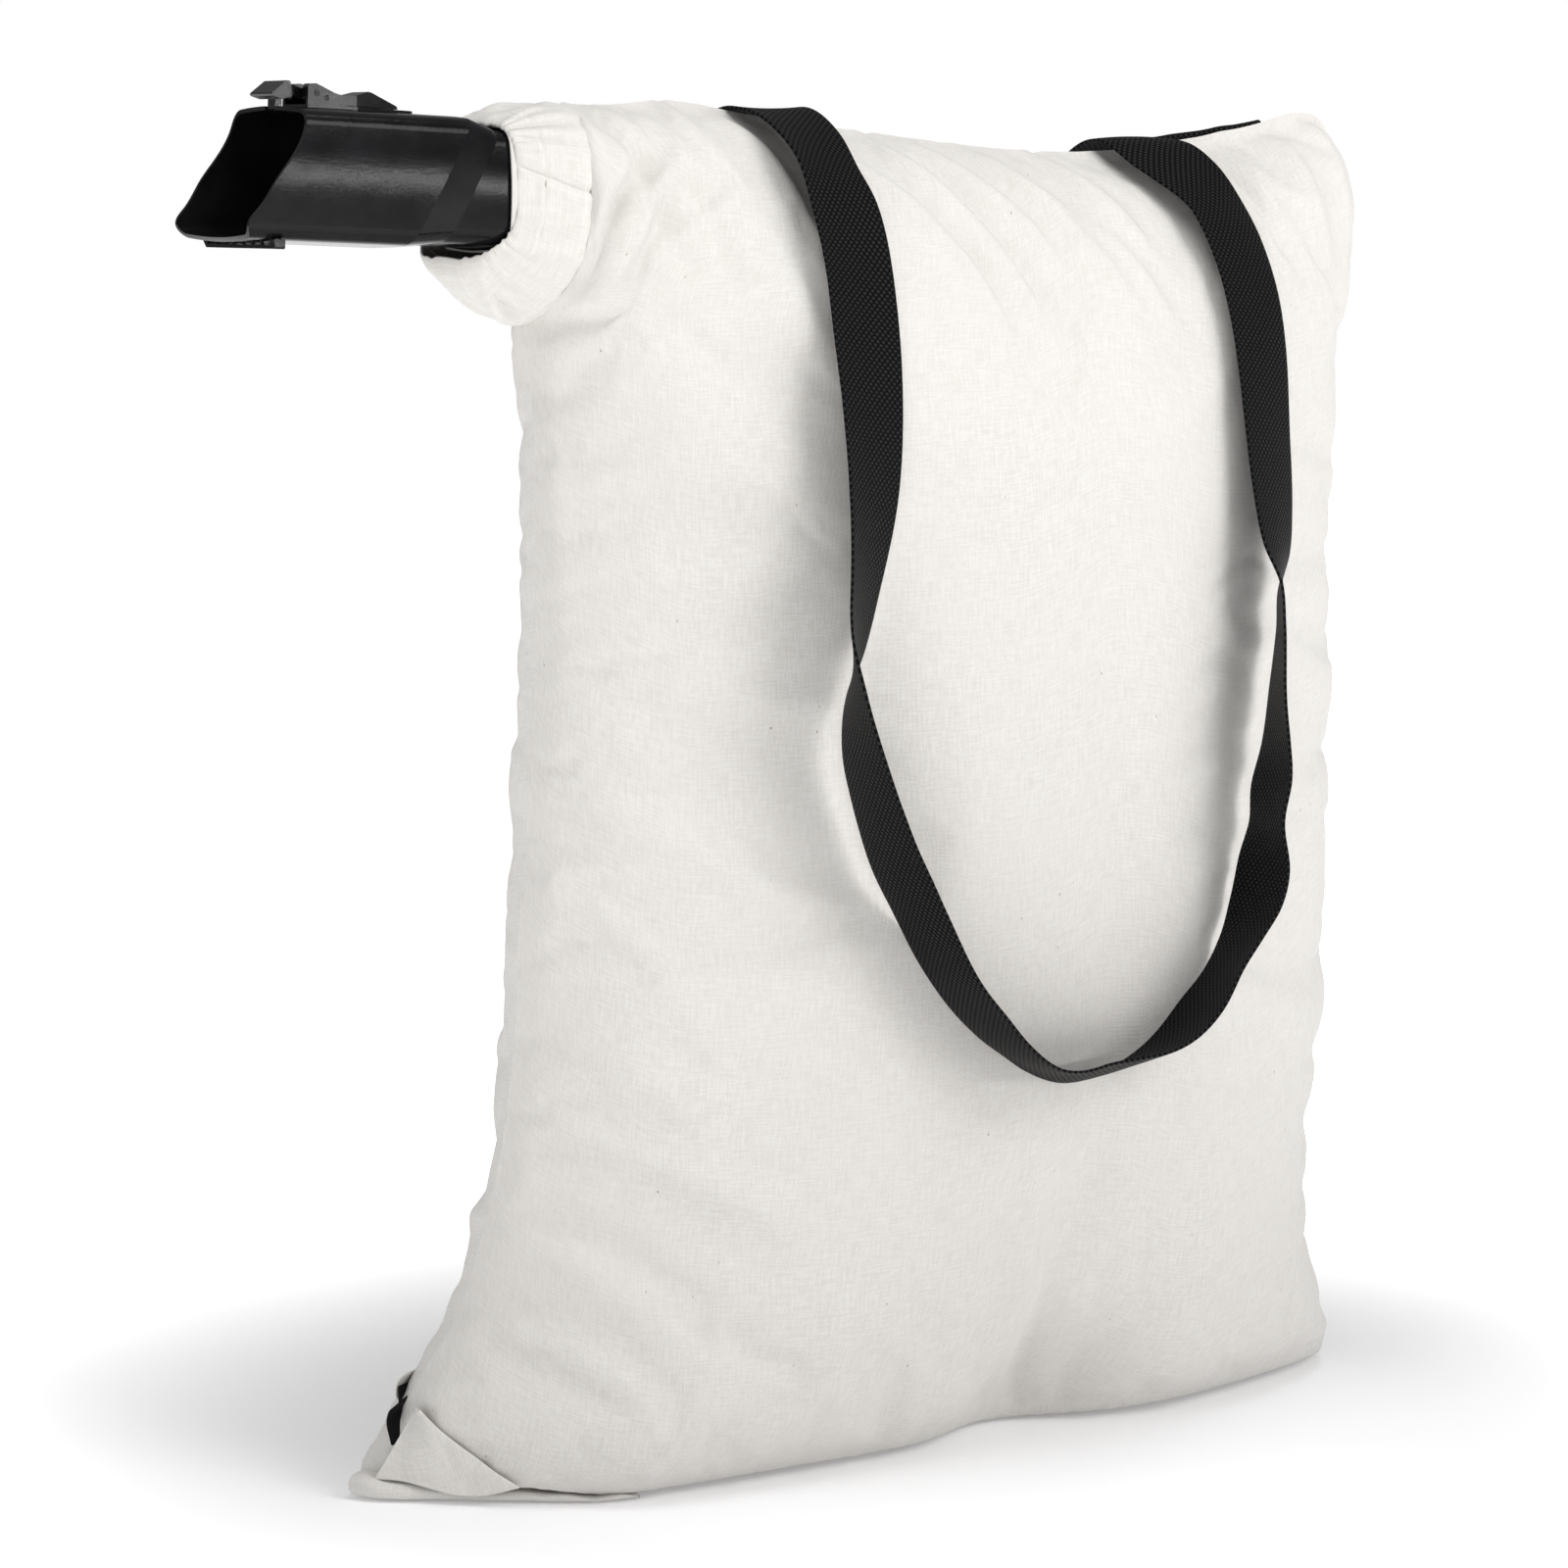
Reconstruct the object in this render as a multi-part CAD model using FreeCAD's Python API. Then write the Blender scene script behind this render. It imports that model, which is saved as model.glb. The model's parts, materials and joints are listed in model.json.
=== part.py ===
"""Debris collection bag of a blower vacuum: a canvas bag on a moulded inlet tube.

Millimetres. X runs along the bag's width and the tube points to -X, Y runs from the
front of the bag to its back, and Z is up. The origin is on the floor under the bag.
Each sub-part is written to parts/NODE.step.
"""
import FreeCAD
import Part

import math
import os

V = FreeCAD.Vector

# Bag: the filled shape of two canvas panels that meet in the seam plane y = 0.
BAG_HEIGHT = 775.0
CANVAS = 2.0            # wall of the filled bag, two cloth layers with the seam allowance
SINK = 0.05             # share of the height that the pillow shape runs on below the floor
LEFT_EDGE = [(-SINK, -376), (0.0, -374), (0.025, -368), (0.05, -356), (0.085, -341), (0.16, -309),
             (0.26, -287), (0.42, -274), (0.62, -267), (0.85, -262), (1.0, -250)]
RIGHT_EDGE = [(-SINK, 306), (0.0, 314), (0.04, 312), (0.15, 297), (0.35, 292), (0.55, 297),
              (0.8, 310), (0.95, 330), (1.0, 324)]
RIDGE = [(-1.0, 768), (-0.8, 780), (-0.5, 771), (-0.1, 758), (0.35, 752), (0.75, 765),
         (0.92, 775), (1.0, 762)]
HALF_DEPTH = [(-SINK, 36), (0.0, 66), (0.05, 87), (0.15, 106), (0.35, 118), (0.6, 116),
              (0.8, 100), (0.9, 76), (0.96, 47), (1.0, 0)]
PLAN_POWER = 3.0        # how square the bag is in plan
ROWS = 26
COLUMNS = 31

# Neck: the sleeve of the bag that the tube goes into, and the hemmed cuff on it.
# x, z, half height, half depth
NECK_RINGS = [(-253, 719, 53, 48), (-212, 717, 56, 52), (-150, 708, 48, 42)]
NECK_CORNER = 32.0
NECK_CROWN = 4.0
CUFF_RIM_X = -299.0
CUFF_SEAM_X = -253.5
CUFF_WALL = 2.4
CUFF_GAP = 1.4          # between tube and cuff
ELASTIC_WIDTH = 8.0
ELASTIC_THICK = 1.1

# Inlet tube, drawn level and then tilted so that the mouth stands higher.
TUBE_PIVOT = V(-290, 0, 730)
TUBE_TILT = 2.5         # degrees
TUBE_WALL = 2.2
MOUTH_SIZE = (81.0, 69.0)     # depth, height outside, at the corners
NECK_SIZE = (72.0, 61.5)
TUBE_CORNER = 8.5       # corner radius
TUBE_CROWN = 1.6        # how far each side bulges
MOUTH_Z = 731.4
NECK_Z = 729.7
STEP_LEAN = 0.52        # how far the step leans along X for each mm of height
STEP_START = -340.0     # the step at mid height
STEP_LENGTH = 22.0
TUBE_END_X = -226.0
BEAD_X = -240.0         # the retaining bead inside the cuff
MOUTH_CURVE = [(-424.5, 769), (-424.5, 758), (-431, 743), (-442.5, 727), (-451.5, 713),
               (-457, 704.5), (-454.5, 698.5), (-446, 694)]
NOTCH = (-430.0, -411.0, 5.2)     # latch notch in the top wall: front, back, half width
LEDGE = (-441.0, -434.5, 39.0)    # ledge across the underside: front, back, half width
LEDGE_THICK = 2.0
SLOT_HEIGHT = 2.1       # the vent slots between ledge and tube
SLOT_PITCH = 9.8
SLOT_COUNT = 7
WEB_THICK = 1.0

# Latch: an over-centre lever on a base, with a claw that reaches over the mouth.
LATCH_Z = MOUTH_Z + MOUTH_SIZE[1] / 2 + TUBE_CROWN    # the tube's top wall
PIVOT = (-403.5, 7.4)   # lever pivot: x, height over the tube
CLAW_PIN = (-396.0, 5.6)
PIN_R = 1.5
RUNNING = 0.06
LEVER_HALF = 10.6
CHEEK_IN = 11.2
CHEEK_OUT = 13.6
ARM_HALF = 4.6
LEVER_TAIL_X = -348.5
BASE_TAIL_X = -337.0
HEAD_HALF = 12.0
HEAD_RIBS = 6
LEG_HALF = 4.0
SCREW_X = (-385.0, -365.0)

# Zip: straight across the lower back, with a tail that follows the bag round to the left seam.
ZIP_Z = 46.0
ZIP_Y = 91.5
ZIP_TAIL = [(-158, 91.5), (-210, 86.5), (-264, 75), (-322, 49)]
ZIP_RIGHT_X = 185.0
FACING = 20.0           # the canvas fold behind the tapes, from the tape to the bag's own wall
FACING_HALF = 20.0
TAPE_THICK = 0.9
TAPE_WIDE = 13.0
TAPE_GAP = 0.6          # half the gap between the two tapes
COIL_WIDE = 2.6
COIL_THICK = 2.0
SLIDER_X = 166.0
SLOT_HALF = 7.0

# Shoulder strap: webbing sewn to the back of the ridge, hanging in front of the bag.
STRAP_WIDE = 50.0
STRAP_THICK = 1.8
STRAP_SECTIONS = 72     # cross-sections along the loop
STRAP_END_SECTIONS = 8  # and along each sewn end
# x, y, z, and the angle between the webbing and the bag's face, in degrees
STRAP = [(-107, -14, 774, 0), (-108, -44, 762, 8), (-107, -64, 743, 16), (-104, -76, 720, 10),
         (-102, -84, 694, 8), (-107, -100, 651, 8), (-112, -113, 609, 14), (-117, -121, 566, 22),
         (-127, -128, 523, 34), (-137, -133, 484, 46), (-142, -138, 452, 66), (-137, -140, 418, 83),
         (-122, -141, 375, 90), (-101, -142, 334, 92), (-78, -143, 293, 91), (-43, -143, 255, 90),
         (-12, -143, 236, 96), (18, -142, 230, 108), (52, -142, 232, 106), (86, -142, 245, 102),
         (110, -142, 266, 101), (135, -141, 299, 101), (151, -140, 340, 98), (157, -139, 387, 107),
         (163, -136, 433, 118), (170, -132, 478, 126), (173, -125, 512, 138), (174, -119, 545, 153),
         (178, -106, 591, 160), (180, -99, 636, 165), (181, -88, 672, 167), (179, -74, 702, 166),
         (174, -62, 724, 164), (164, -46, 741, 172), (156, -30, 752.5, 180), (155, -14, 760, 180)]


def profile(pairs):
    """A smooth function through (t, value) pairs."""
    curve = Part.BSplineCurve()
    curve.interpolate(Points=[V(t, v, 0) for t, v in pairs], Parameters=[t for t, v in pairs])
    return lambda t: curve.value(t).y


left_edge, right_edge = profile(LEFT_EDGE), profile(RIGHT_EDGE)
ridge, half_depth = profile(RIDGE), profile(HALF_DEPTH)


def bag_point(s, t, side, inset):
    """A point of the filled bag: s from -1 at the left seam to 1, t from 0 at the floor to 1 at the top."""
    left, right = left_edge(t) + inset, right_edge(t) - inset
    x = (left + right) / 2 + s * (right - left) / 2
    top = ridge(s) - 3 * inset
    z = t * (BAG_HEIGHT + (top - BAG_HEIGHT) * max(t, 0) ** 2)
    depth = half_depth(t) - inset * min(1.0, (1 - t) * 12)
    y = side * depth * max(1 - abs(s) ** PLAN_POWER, 0.0) ** 0.5
    return V(x, y, z)


def bag_face(side, inset):
    """The front (side -1) or back (side 1) surface of the bag, interpolated through a grid."""
    across = [-math.cos(math.pi * i / (COLUMNS - 1)) for i in range(COLUMNS)]
    up = [-SINK + (1 + SINK) * math.sin(math.pi / 2 * j / (ROWS - 1)) for j in range(ROWS)]
    surface = Part.BSplineSurface()
    surface.interpolate([[bag_point(s, t, side, inset) for t in up] for s in across])
    return surface.toShape()


def closed(faces):
    """A solid from faces that meet edge to edge."""
    shell = Part.Shell(faces)
    if not shell.isClosed():
        shell.sewShape(0.01)
        shell = shell if shell.ShapeType == "Shell" else shell.Shells[0]
    solid = Part.Solid(shell)
    if solid.Volume < 0:
        solid.reverse()
    return solid


def open_edges(faces):
    """The edges that only one of the faces has."""
    edges = [e for f in faces for e in f.Edges]
    middles = [e.valueAt((e.FirstParameter + e.LastParameter) / 2) for e in edges]
    return [e for i, e in enumerate(edges)
            if all((middles[i] - m).Length > 0.01 for j, m in enumerate(middles) if j != i)]


def pillow(inset):
    """The filled bag as a solid that runs on below the floor."""
    faces = [bag_face(-1, inset), bag_face(1, inset)]
    loose = open_edges(faces)
    low = [e for e in loose if e.BoundBox.ZMax < 0]
    faces.append(Part.Face(Part.Wire(Part.__sortEdges__(low))))
    return closed(faces)


def ring(x, zc, half_y, half_z, r, crown, lean=0.0):
    """A closed wire of arcs at x: a rectangle with round corners and crowned sides. It may lean along X."""
    def turning(half):
        return 2 * math.atan(crown / (half - r))
    edges = []
    for quarter in range(4):
        a, b = (half_y, half_z) if quarter % 2 == 0 else (half_z, half_y)
        bend = math.pi / 2 - turning(a) - turning(b)
        bulge = r / 2 + r / 2 * math.tan(bend / 4)
        arcs = [[(a, r - b), (a + crown, 0), (a, b - r)],
                [(a, b - r), (a - r + bulge, b - r + bulge), (a - r, b)]]
        c, s = math.cos(math.pi / 2 * quarter), math.sin(math.pi / 2 * quarter)
        for arc in arcs:
            spots = [(c * p - s * q, s * p + c * q) for p, q in arc]
            edges.append(Part.Arc(*[V(x + lean * z, y, zc + z) for y, z in spots]).toShape())
    return Part.Wire(edges)


def neck_ring(at, inset):
    x, z, half_z, half_y = at
    return ring(x, z, half_y - inset, half_z - inset, NECK_CORNER - inset, NECK_CROWN)


def neck(inset, out=0.0):
    """The sleeve between bag and cuff; out makes it run on past the cuff's seam."""
    solid = Part.makeLoft([neck_ring(at, inset) for at in NECK_RINGS], True, False)
    if out:
        solid = solid.fuse(Part.Face(neck_ring(NECK_RINGS[0], inset)).extrude(V(-out, 0, 0)))
    return solid


def block(x0, x1, y0, y1, z0, z1):
    return Part.makeBox(x1 - x0, y1 - y0, z1 - z0, V(x0, y0, z0))


def bag_panels():
    """Front and back canvas, each with its half of the base and of the sleeve."""
    outer = pillow(0).fuse(neck(0))
    inner = pillow(CANVAS).fuse(neck(CANVAS, out=30))
    inner = inner.common(block(-500, 500, -300, 300, CANVAS, 900))
    shell = outer.cut(inner).common(block(-500, 500, -300, 300, 0, 900))
    shell = shell.cut(block(-400, NECK_RINGS[0][0], -200, 200, 650, 800))
    front = shell.common(block(-500, 500, -300, 0, -10, 900))
    back = shell.common(block(-500, 500, 0, 300, -10, 900))
    facing = zip_strip(-FACING, 0, ZIP_Z - FACING_HALF, ZIP_Z + FACING_HALF).cut(pillow(CANVAS))
    facing = facing.common(block(-500, 500, 0, 300, 0, 900))
    slot = block(ZIP_TAIL[0][0], ZIP_RIGHT_X - 6, 60, 130, ZIP_Z - SLOT_HALF, ZIP_Z + SLOT_HALF)
    room = zip_strip(0, 30, ZIP_Z - TAPE_WIDE - 2, ZIP_Z + TAPE_WIDE + 2)
    return largest(front), largest(back.fuse(facing).cut(slot).cut(room))


def largest(shape):
    return max(shape.Solids, key=lambda s: s.Volume)


def tilt(shape):
    """Turns a part that was drawn on the level tube into its place on the tilted one."""
    shape = shape.copy()
    shape.rotate(TUBE_PIVOT, V(0, 1, 0), TUBE_TILT)
    return shape


def tube_ring(x, zc, size, shrink=0.0, lean=0.0):
    return ring(x, zc, size[0] / 2 - shrink, size[1] / 2 - shrink, TUBE_CORNER - shrink, TUBE_CROWN, lean)


def tube_body(shrink):
    """The tube's outline as a solid: wide mouth part, leaning step, narrow neck part."""
    rings = [tube_ring(-520, MOUTH_Z, MOUTH_SIZE, shrink, STEP_LEAN),
             tube_ring(STEP_START, MOUTH_Z, MOUTH_SIZE, shrink, STEP_LEAN),
             tube_ring(STEP_START + STEP_LENGTH, NECK_Z, NECK_SIZE, shrink, STEP_LEAN),
             tube_ring(TUBE_END_X + 60, NECK_Z, NECK_SIZE, shrink, STEP_LEAN)]
    return Part.makeLoft(rings, True, True)


def mouth_cut():
    """What the curved mouth cuts off the tube's front end, as a solid across the tube."""
    curve = Part.BSplineCurve()
    curve.interpolate([V(x, -100, z) for x, z in MOUTH_CURVE])
    top, bottom = MOUTH_CURVE[0], MOUTH_CURVE[-1]
    corners = [V(bottom[0], -100, bottom[1]), V(bottom[0], -100, 660), V(-600, -100, 660),
               V(-600, -100, 800), V(top[0], -100, 800), V(top[0], -100, top[1])]
    edges = [curve.toShape()] + [Part.makeLine(a, b) for a, b in zip(corners, corners[1:])]
    return Part.Face(Part.Wire(edges)).extrude(V(0, 200, 0))


def ledge():
    """The ledge under the tube, with webs that leave a row of vent slots."""
    front, back, half = LEDGE
    under = MOUTH_Z - MOUTH_SIZE[1] / 2 - TUBE_CROWN + 1.2
    low = under - SLOT_HEIGHT - LEDGE_THICK
    chamfer = LEDGE_THICK + SLOT_HEIGHT
    outline = [V(front, -half, under + 1), V(front, -half, low + 1), V(front, -half + 1, low),
               V(front, half - chamfer, low), V(front, half, low + chamfer), V(front, half, under + 1)]
    body = Part.Face(Part.makePolygon(outline + [outline[0]])).extrude(V(back - front, 0, 0))
    width = SLOT_PITCH - WEB_THICK
    for i in range(SLOT_COUNT):
        y = (i - (SLOT_COUNT - 1) / 2) * SLOT_PITCH - width / 2
        body = body.cut(block(front - 1, back + 1, y, y + width, under - SLOT_HEIGHT, under + 2))
    return body


def inlet_tube():
    """The moulded tube with its curved mouth, latch notch, ledge and the bead inside the cuff."""
    bead = Part.Face(tube_ring(BEAD_X, NECK_Z, (NECK_SIZE[0] + 3.0, NECK_SIZE[1] + 3.0)))
    outer = tube_body(0).fuse(bead.extrude(V(4.0, 0, 0))).fuse(ledge())
    tube = outer.cut(tube_body(TUBE_WALL)).cut(mouth_cut())
    tube = tube.cut(block(TUBE_END_X, 0, -100, 100, 600, 850))
    tube = tube.cut(block(NOTCH[0] - 20, NOTCH[1], -NOTCH[2], NOTCH[2], LATCH_Z - 8, LATCH_Z + 8))
    for x in SCREW_X:
        tube = tube.cut(Part.makeCylinder(1.25, 12, V(x, 0, LATCH_Z - 8), V(0, 0, 1)))
    return tilt(largest(tube))


def at_latch(x, h, y=0.0):
    """A point of the latch from its x, its height over the tube's top wall, and y."""
    return V(x, y, LATCH_Z + h)


def side_plate(points, half):
    """A plate from a side outline of (x, height) points, as wide as 2 * half about y = 0."""
    corners = [at_latch(x, h, -half) for x, h in points]
    wire = Part.makePolygon(corners + [corners[0]])
    return Part.Face(wire).extrude(V(0, 2 * half, 0))


def pin(x, h, y0, y1, r):
    return Part.makeCylinder(r, y1 - y0, at_latch(x, h, y0), V(0, 1, 0))


def curve_down(x0, h0, x1, h1, count=9):
    """Points of a concave quarter sweep from (x0, h0) down to (x1, h1)."""
    return [(x1 - (x1 - x0) * math.cos(math.pi / 2 * i / count),
             h0 - (h0 - h1) * math.sin(math.pi / 2 * i / count)) for i in range(count + 1)]


def latch_base():
    """Shield-shaped plate on the tube with two swept cheeks that carry the lever's pins."""
    front = PIVOT[0] - 5.5
    taper = PIVOT[0] + 25.5
    outline = [V(front, -CHEEK_OUT, LATCH_Z), V(taper, -CHEEK_OUT + 0.8, LATCH_Z),
               V(BASE_TAIL_X - 3, -3.2, LATCH_Z), V(BASE_TAIL_X, 0, LATCH_Z),
               V(BASE_TAIL_X - 3, 3.2, LATCH_Z), V(taper, CHEEK_OUT - 0.8, LATCH_Z),
               V(front, CHEEK_OUT, LATCH_Z)]
    plate = Part.Face(Part.makePolygon(outline + [outline[0]])).extrude(V(0, 0, 1.6))
    cheek = [(front, 0), (front, 11.0), (front + 1.2, 12.2)]
    cheek += curve_down(front + 2.6, 12.2, taper - 6, 1.6) + [(taper - 6, 0)]
    for y in (-CHEEK_OUT, CHEEK_IN):
        side = side_plate(cheek, (CHEEK_OUT - CHEEK_IN) / 2)
        side.translate(V(0, y + (CHEEK_OUT - CHEEK_IN) / 2, 0))
        plate = plate.fuse(side)
    plate = plate.cut(pin(*PIVOT, -20, 20, PIN_R))
    for x in SCREW_X:
        plate = plate.cut(Part.makeCylinder(1.7, 4, V(x, 0, LATCH_Z - 1), V(0, 0, 1)))
    return tilt(plate.removeSplitter().cut(tube_body(0)))


def latch_lever():
    """Saddle-shaped lever, hollow underneath and slotted in front for the claw's arm."""
    x = PIVOT[0]
    saddle = profile([(x + 1, 12.9), (x + 7, 10.6), (x + 14, 8.0), (x + 20.5, 7.3), (x + 27, 8.2),
                      (x + 34, 10.2)])
    top = [(x - 4.5, 4.6), (x - 4.5, 10.8), (x - 3.1, 12.6)]
    top += [(x + t, saddle(x + t)) for t in range(1, 35, 3)]
    top += [(x + 36, 9.9), (LEVER_TAIL_X - 1, 3.6), (LEVER_TAIL_X, 1.9)]
    body = side_plate(top + [(x + 1.5, 2.2), (x - 2, 2.8)], LEVER_HALF)
    taper = x + 26
    plan = [V(x - 12, -LEVER_HALF, LATCH_Z), V(taper, -LEVER_HALF, LATCH_Z), V(LEVER_TAIL_X, -4.2, LATCH_Z),
            V(LEVER_TAIL_X, 4.2, LATCH_Z), V(taper, LEVER_HALF, LATCH_Z), V(x - 12, LEVER_HALF, LATCH_Z)]
    body = body.common(Part.Face(Part.makePolygon(plan + [plan[0]])).extrude(V(0, 0, 20)))
    hollow = [(x + 4, 0), (x + 4, 6.0), (x + 14, 5.0), (x + 24, 5.0), (x + 34, 6.4), (x + 44, 4.2),
              (x + 47, 0)]
    body = body.cut(side_plate(hollow, LEVER_HALF - 5.0))
    slot = ARM_HALF + 0.7
    body = body.cut(block(x - 12, x + 14, -slot, slot, LATCH_Z - 1, LATCH_Z + 20))
    body = body.cut(pin(*PIVOT, -20, 20, PIN_R + RUNNING))
    body = body.cut(pin(*CLAW_PIN, -20, 20, PIN_R))
    return tilt(largest(body))


def pivot_pins():
    """Two stub pins, one through each cheek into the lever's side."""
    stubs = [pin(*PIVOT, y0, y0 + 7.6, PIN_R) for y0 in (-CHEEK_OUT - 0.4, CHEEK_OUT + 0.4 - 7.6)]
    return Part.makeCompound([tilt(s) for s in stubs])


def claw_pin():
    return tilt(pin(*CLAW_PIN, -LEVER_HALF + 0.4, LEVER_HALF - 0.4, PIN_R))


def latch_claw():
    """Ribbed head over the mouth, a leg that drops into the notch, and the arm to its pin."""
    nose, crest, back = CLAW_PIN[0] - 33.0, CLAW_PIN[0] - 25.0, CLAW_PIN[0] - 22.6
    head = side_plate([(nose - 0.8, 5.9), (nose, 7.0), (crest, 13.4), (back - 0.8, 13.4), (back, 12.6),
                       (back + 0.8, 5.2), (back - 5, 3.6), (nose, 5.0)], HEAD_HALF)
    pitch = 2 * (HEAD_HALF - 1.6) / HEAD_RIBS
    for i in range(HEAD_RIBS):
        groove = side_plate([(nose + 0.6, 8.1), (crest + 0.2, 14.4), (crest - 2, 16), (nose - 2, 9.6)],
                            pitch * 0.27)
        groove.translate(V(0, -HEAD_HALF + 1.6 + (i + 0.5) * pitch, 0))
        head = head.cut(groove)
    leg = side_plate([(back - 4.6, 5.0), (back - 4.6, -1.4), (back - 3.2, -2.4), (back - 0.6, -2.4),
                      (back - 0.6, 5.6)], LEG_HALF)
    x = CLAW_PIN[0]
    arm = side_plate([(back - 0.5, 5.6), (back - 0.5, 10.4), (x - 13.5, 10.4), (x - 6, 9.4), (x, 8.6),
                      (x + 2.4, 6.6), (x + 2.4, 4.4), (x, 2.9), (x - 7, 4.4), (x - 13.5, 5.6)], ARM_HALF)
    arm = arm.cut(block(x - 19, x - 11, -ARM_HALF + 2.2, ARM_HALF - 2.2, LATCH_Z, LATCH_Z + 20))
    claw = head.fuse(leg).fuse(arm).cut(pin(*CLAW_PIN, -20, 20, PIN_R + RUNNING))
    return tilt(largest(claw.removeSplitter()))


def screws():
    """Pan-head screws that hold the latch base on the tube."""
    made = []
    for x in SCREW_X:
        shank = Part.makeCylinder(1.25, 6.0, V(x, 0, LATCH_Z - 4.4), V(0, 0, 1))
        head = Part.makeCylinder(2.7, 1.7, V(x, 0, LATCH_Z + 1.6), V(0, 0, 1))
        cross = block(x - 1.7, x + 1.7, -0.35, 0.35, LATCH_Z + 2.5, LATCH_Z + 4)
        cross = cross.fuse(block(x - 0.35, x + 0.35, -1.7, 1.7, LATCH_Z + 2.5, LATCH_Z + 4))
        made.append(tilt(shank.fuse(head).cut(cross)))
    return Part.makeCompound(made)


def cuff_parts():
    """The hemmed cuff round the tube, and the elastic in its groove."""
    x, z, half_z, half_y = NECK_RINGS[0]
    rim_z = NECK_Z + 0.4

    def tube_like(at, grow):
        return tube_ring(at, rim_z, NECK_SIZE, -grow)

    def wall(grow):
        rings = [tube_like(CUFF_RIM_X, CUFF_GAP + grow), tube_like(CUFF_RIM_X + 14, CUFF_GAP + 1.6 + grow),
                 neck_ring((CUFF_SEAM_X, z, half_z, half_y), CUFF_WALL - grow)]
        return Part.makeLoft(rings, True, False)

    def elastic_ring(grow, x0, x1):
        return Part.Face(tube_like(x0, grow)).extrude(V(x1 - x0, 0, 0))
    start = CUFF_RIM_X + 2.0
    end = start + ELASTIC_WIDTH
    inside = CUFF_GAP - 0.1
    groove = elastic_ring(inside + ELASTIC_THICK + 0.2, start - 0.2, end + 0.2)
    elastic = elastic_ring(inside + ELASTIC_THICK, start, end).cut(elastic_ring(inside, start - 1, end + 1))
    band = wall(CUFF_WALL).cut(wall(0)).cut(groove)
    return largest(band), elastic


def zip_path(y_shift, x_from=None):
    """The zip's line in plan at the height of its middle: straight, then round to the left seam."""
    tail = Part.BSplineCurve()
    points = [V(x, y + y_shift, ZIP_Z) for x, y in ZIP_TAIL]
    tail.interpolate(Points=points, InitialTangent=V(-1, 0, 0), FinalTangent=V(-0.85, -0.53, 0))
    start = V(ZIP_RIGHT_X if x_from is None else x_from, ZIP_Y + y_shift, ZIP_Z)
    return Part.Wire([Part.makeLine(start, points[0]), tail.toShape()])


def zip_strip(y0, y1, z0, z1, x_from=None):
    """A strip along the zip between two depths and two heights."""
    inside, outside = zip_path(y0, x_from), zip_path(y1, x_from)
    lines = [e.copy() for w in (inside, outside) for e in w.Edges]
    ends = [(inside.Vertexes[i].Point, outside.Vertexes[i].Point) for i in (0, -1)]
    edges = lines + [Part.makeLine(a, b) for a, b in ends]
    face = Part.Face(Part.Wire(Part.__sortEdges__(edges)))
    face.translate(V(0, 0, z0 - ZIP_Z))
    return face.extrude(V(0, 0, z1 - z0))


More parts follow.
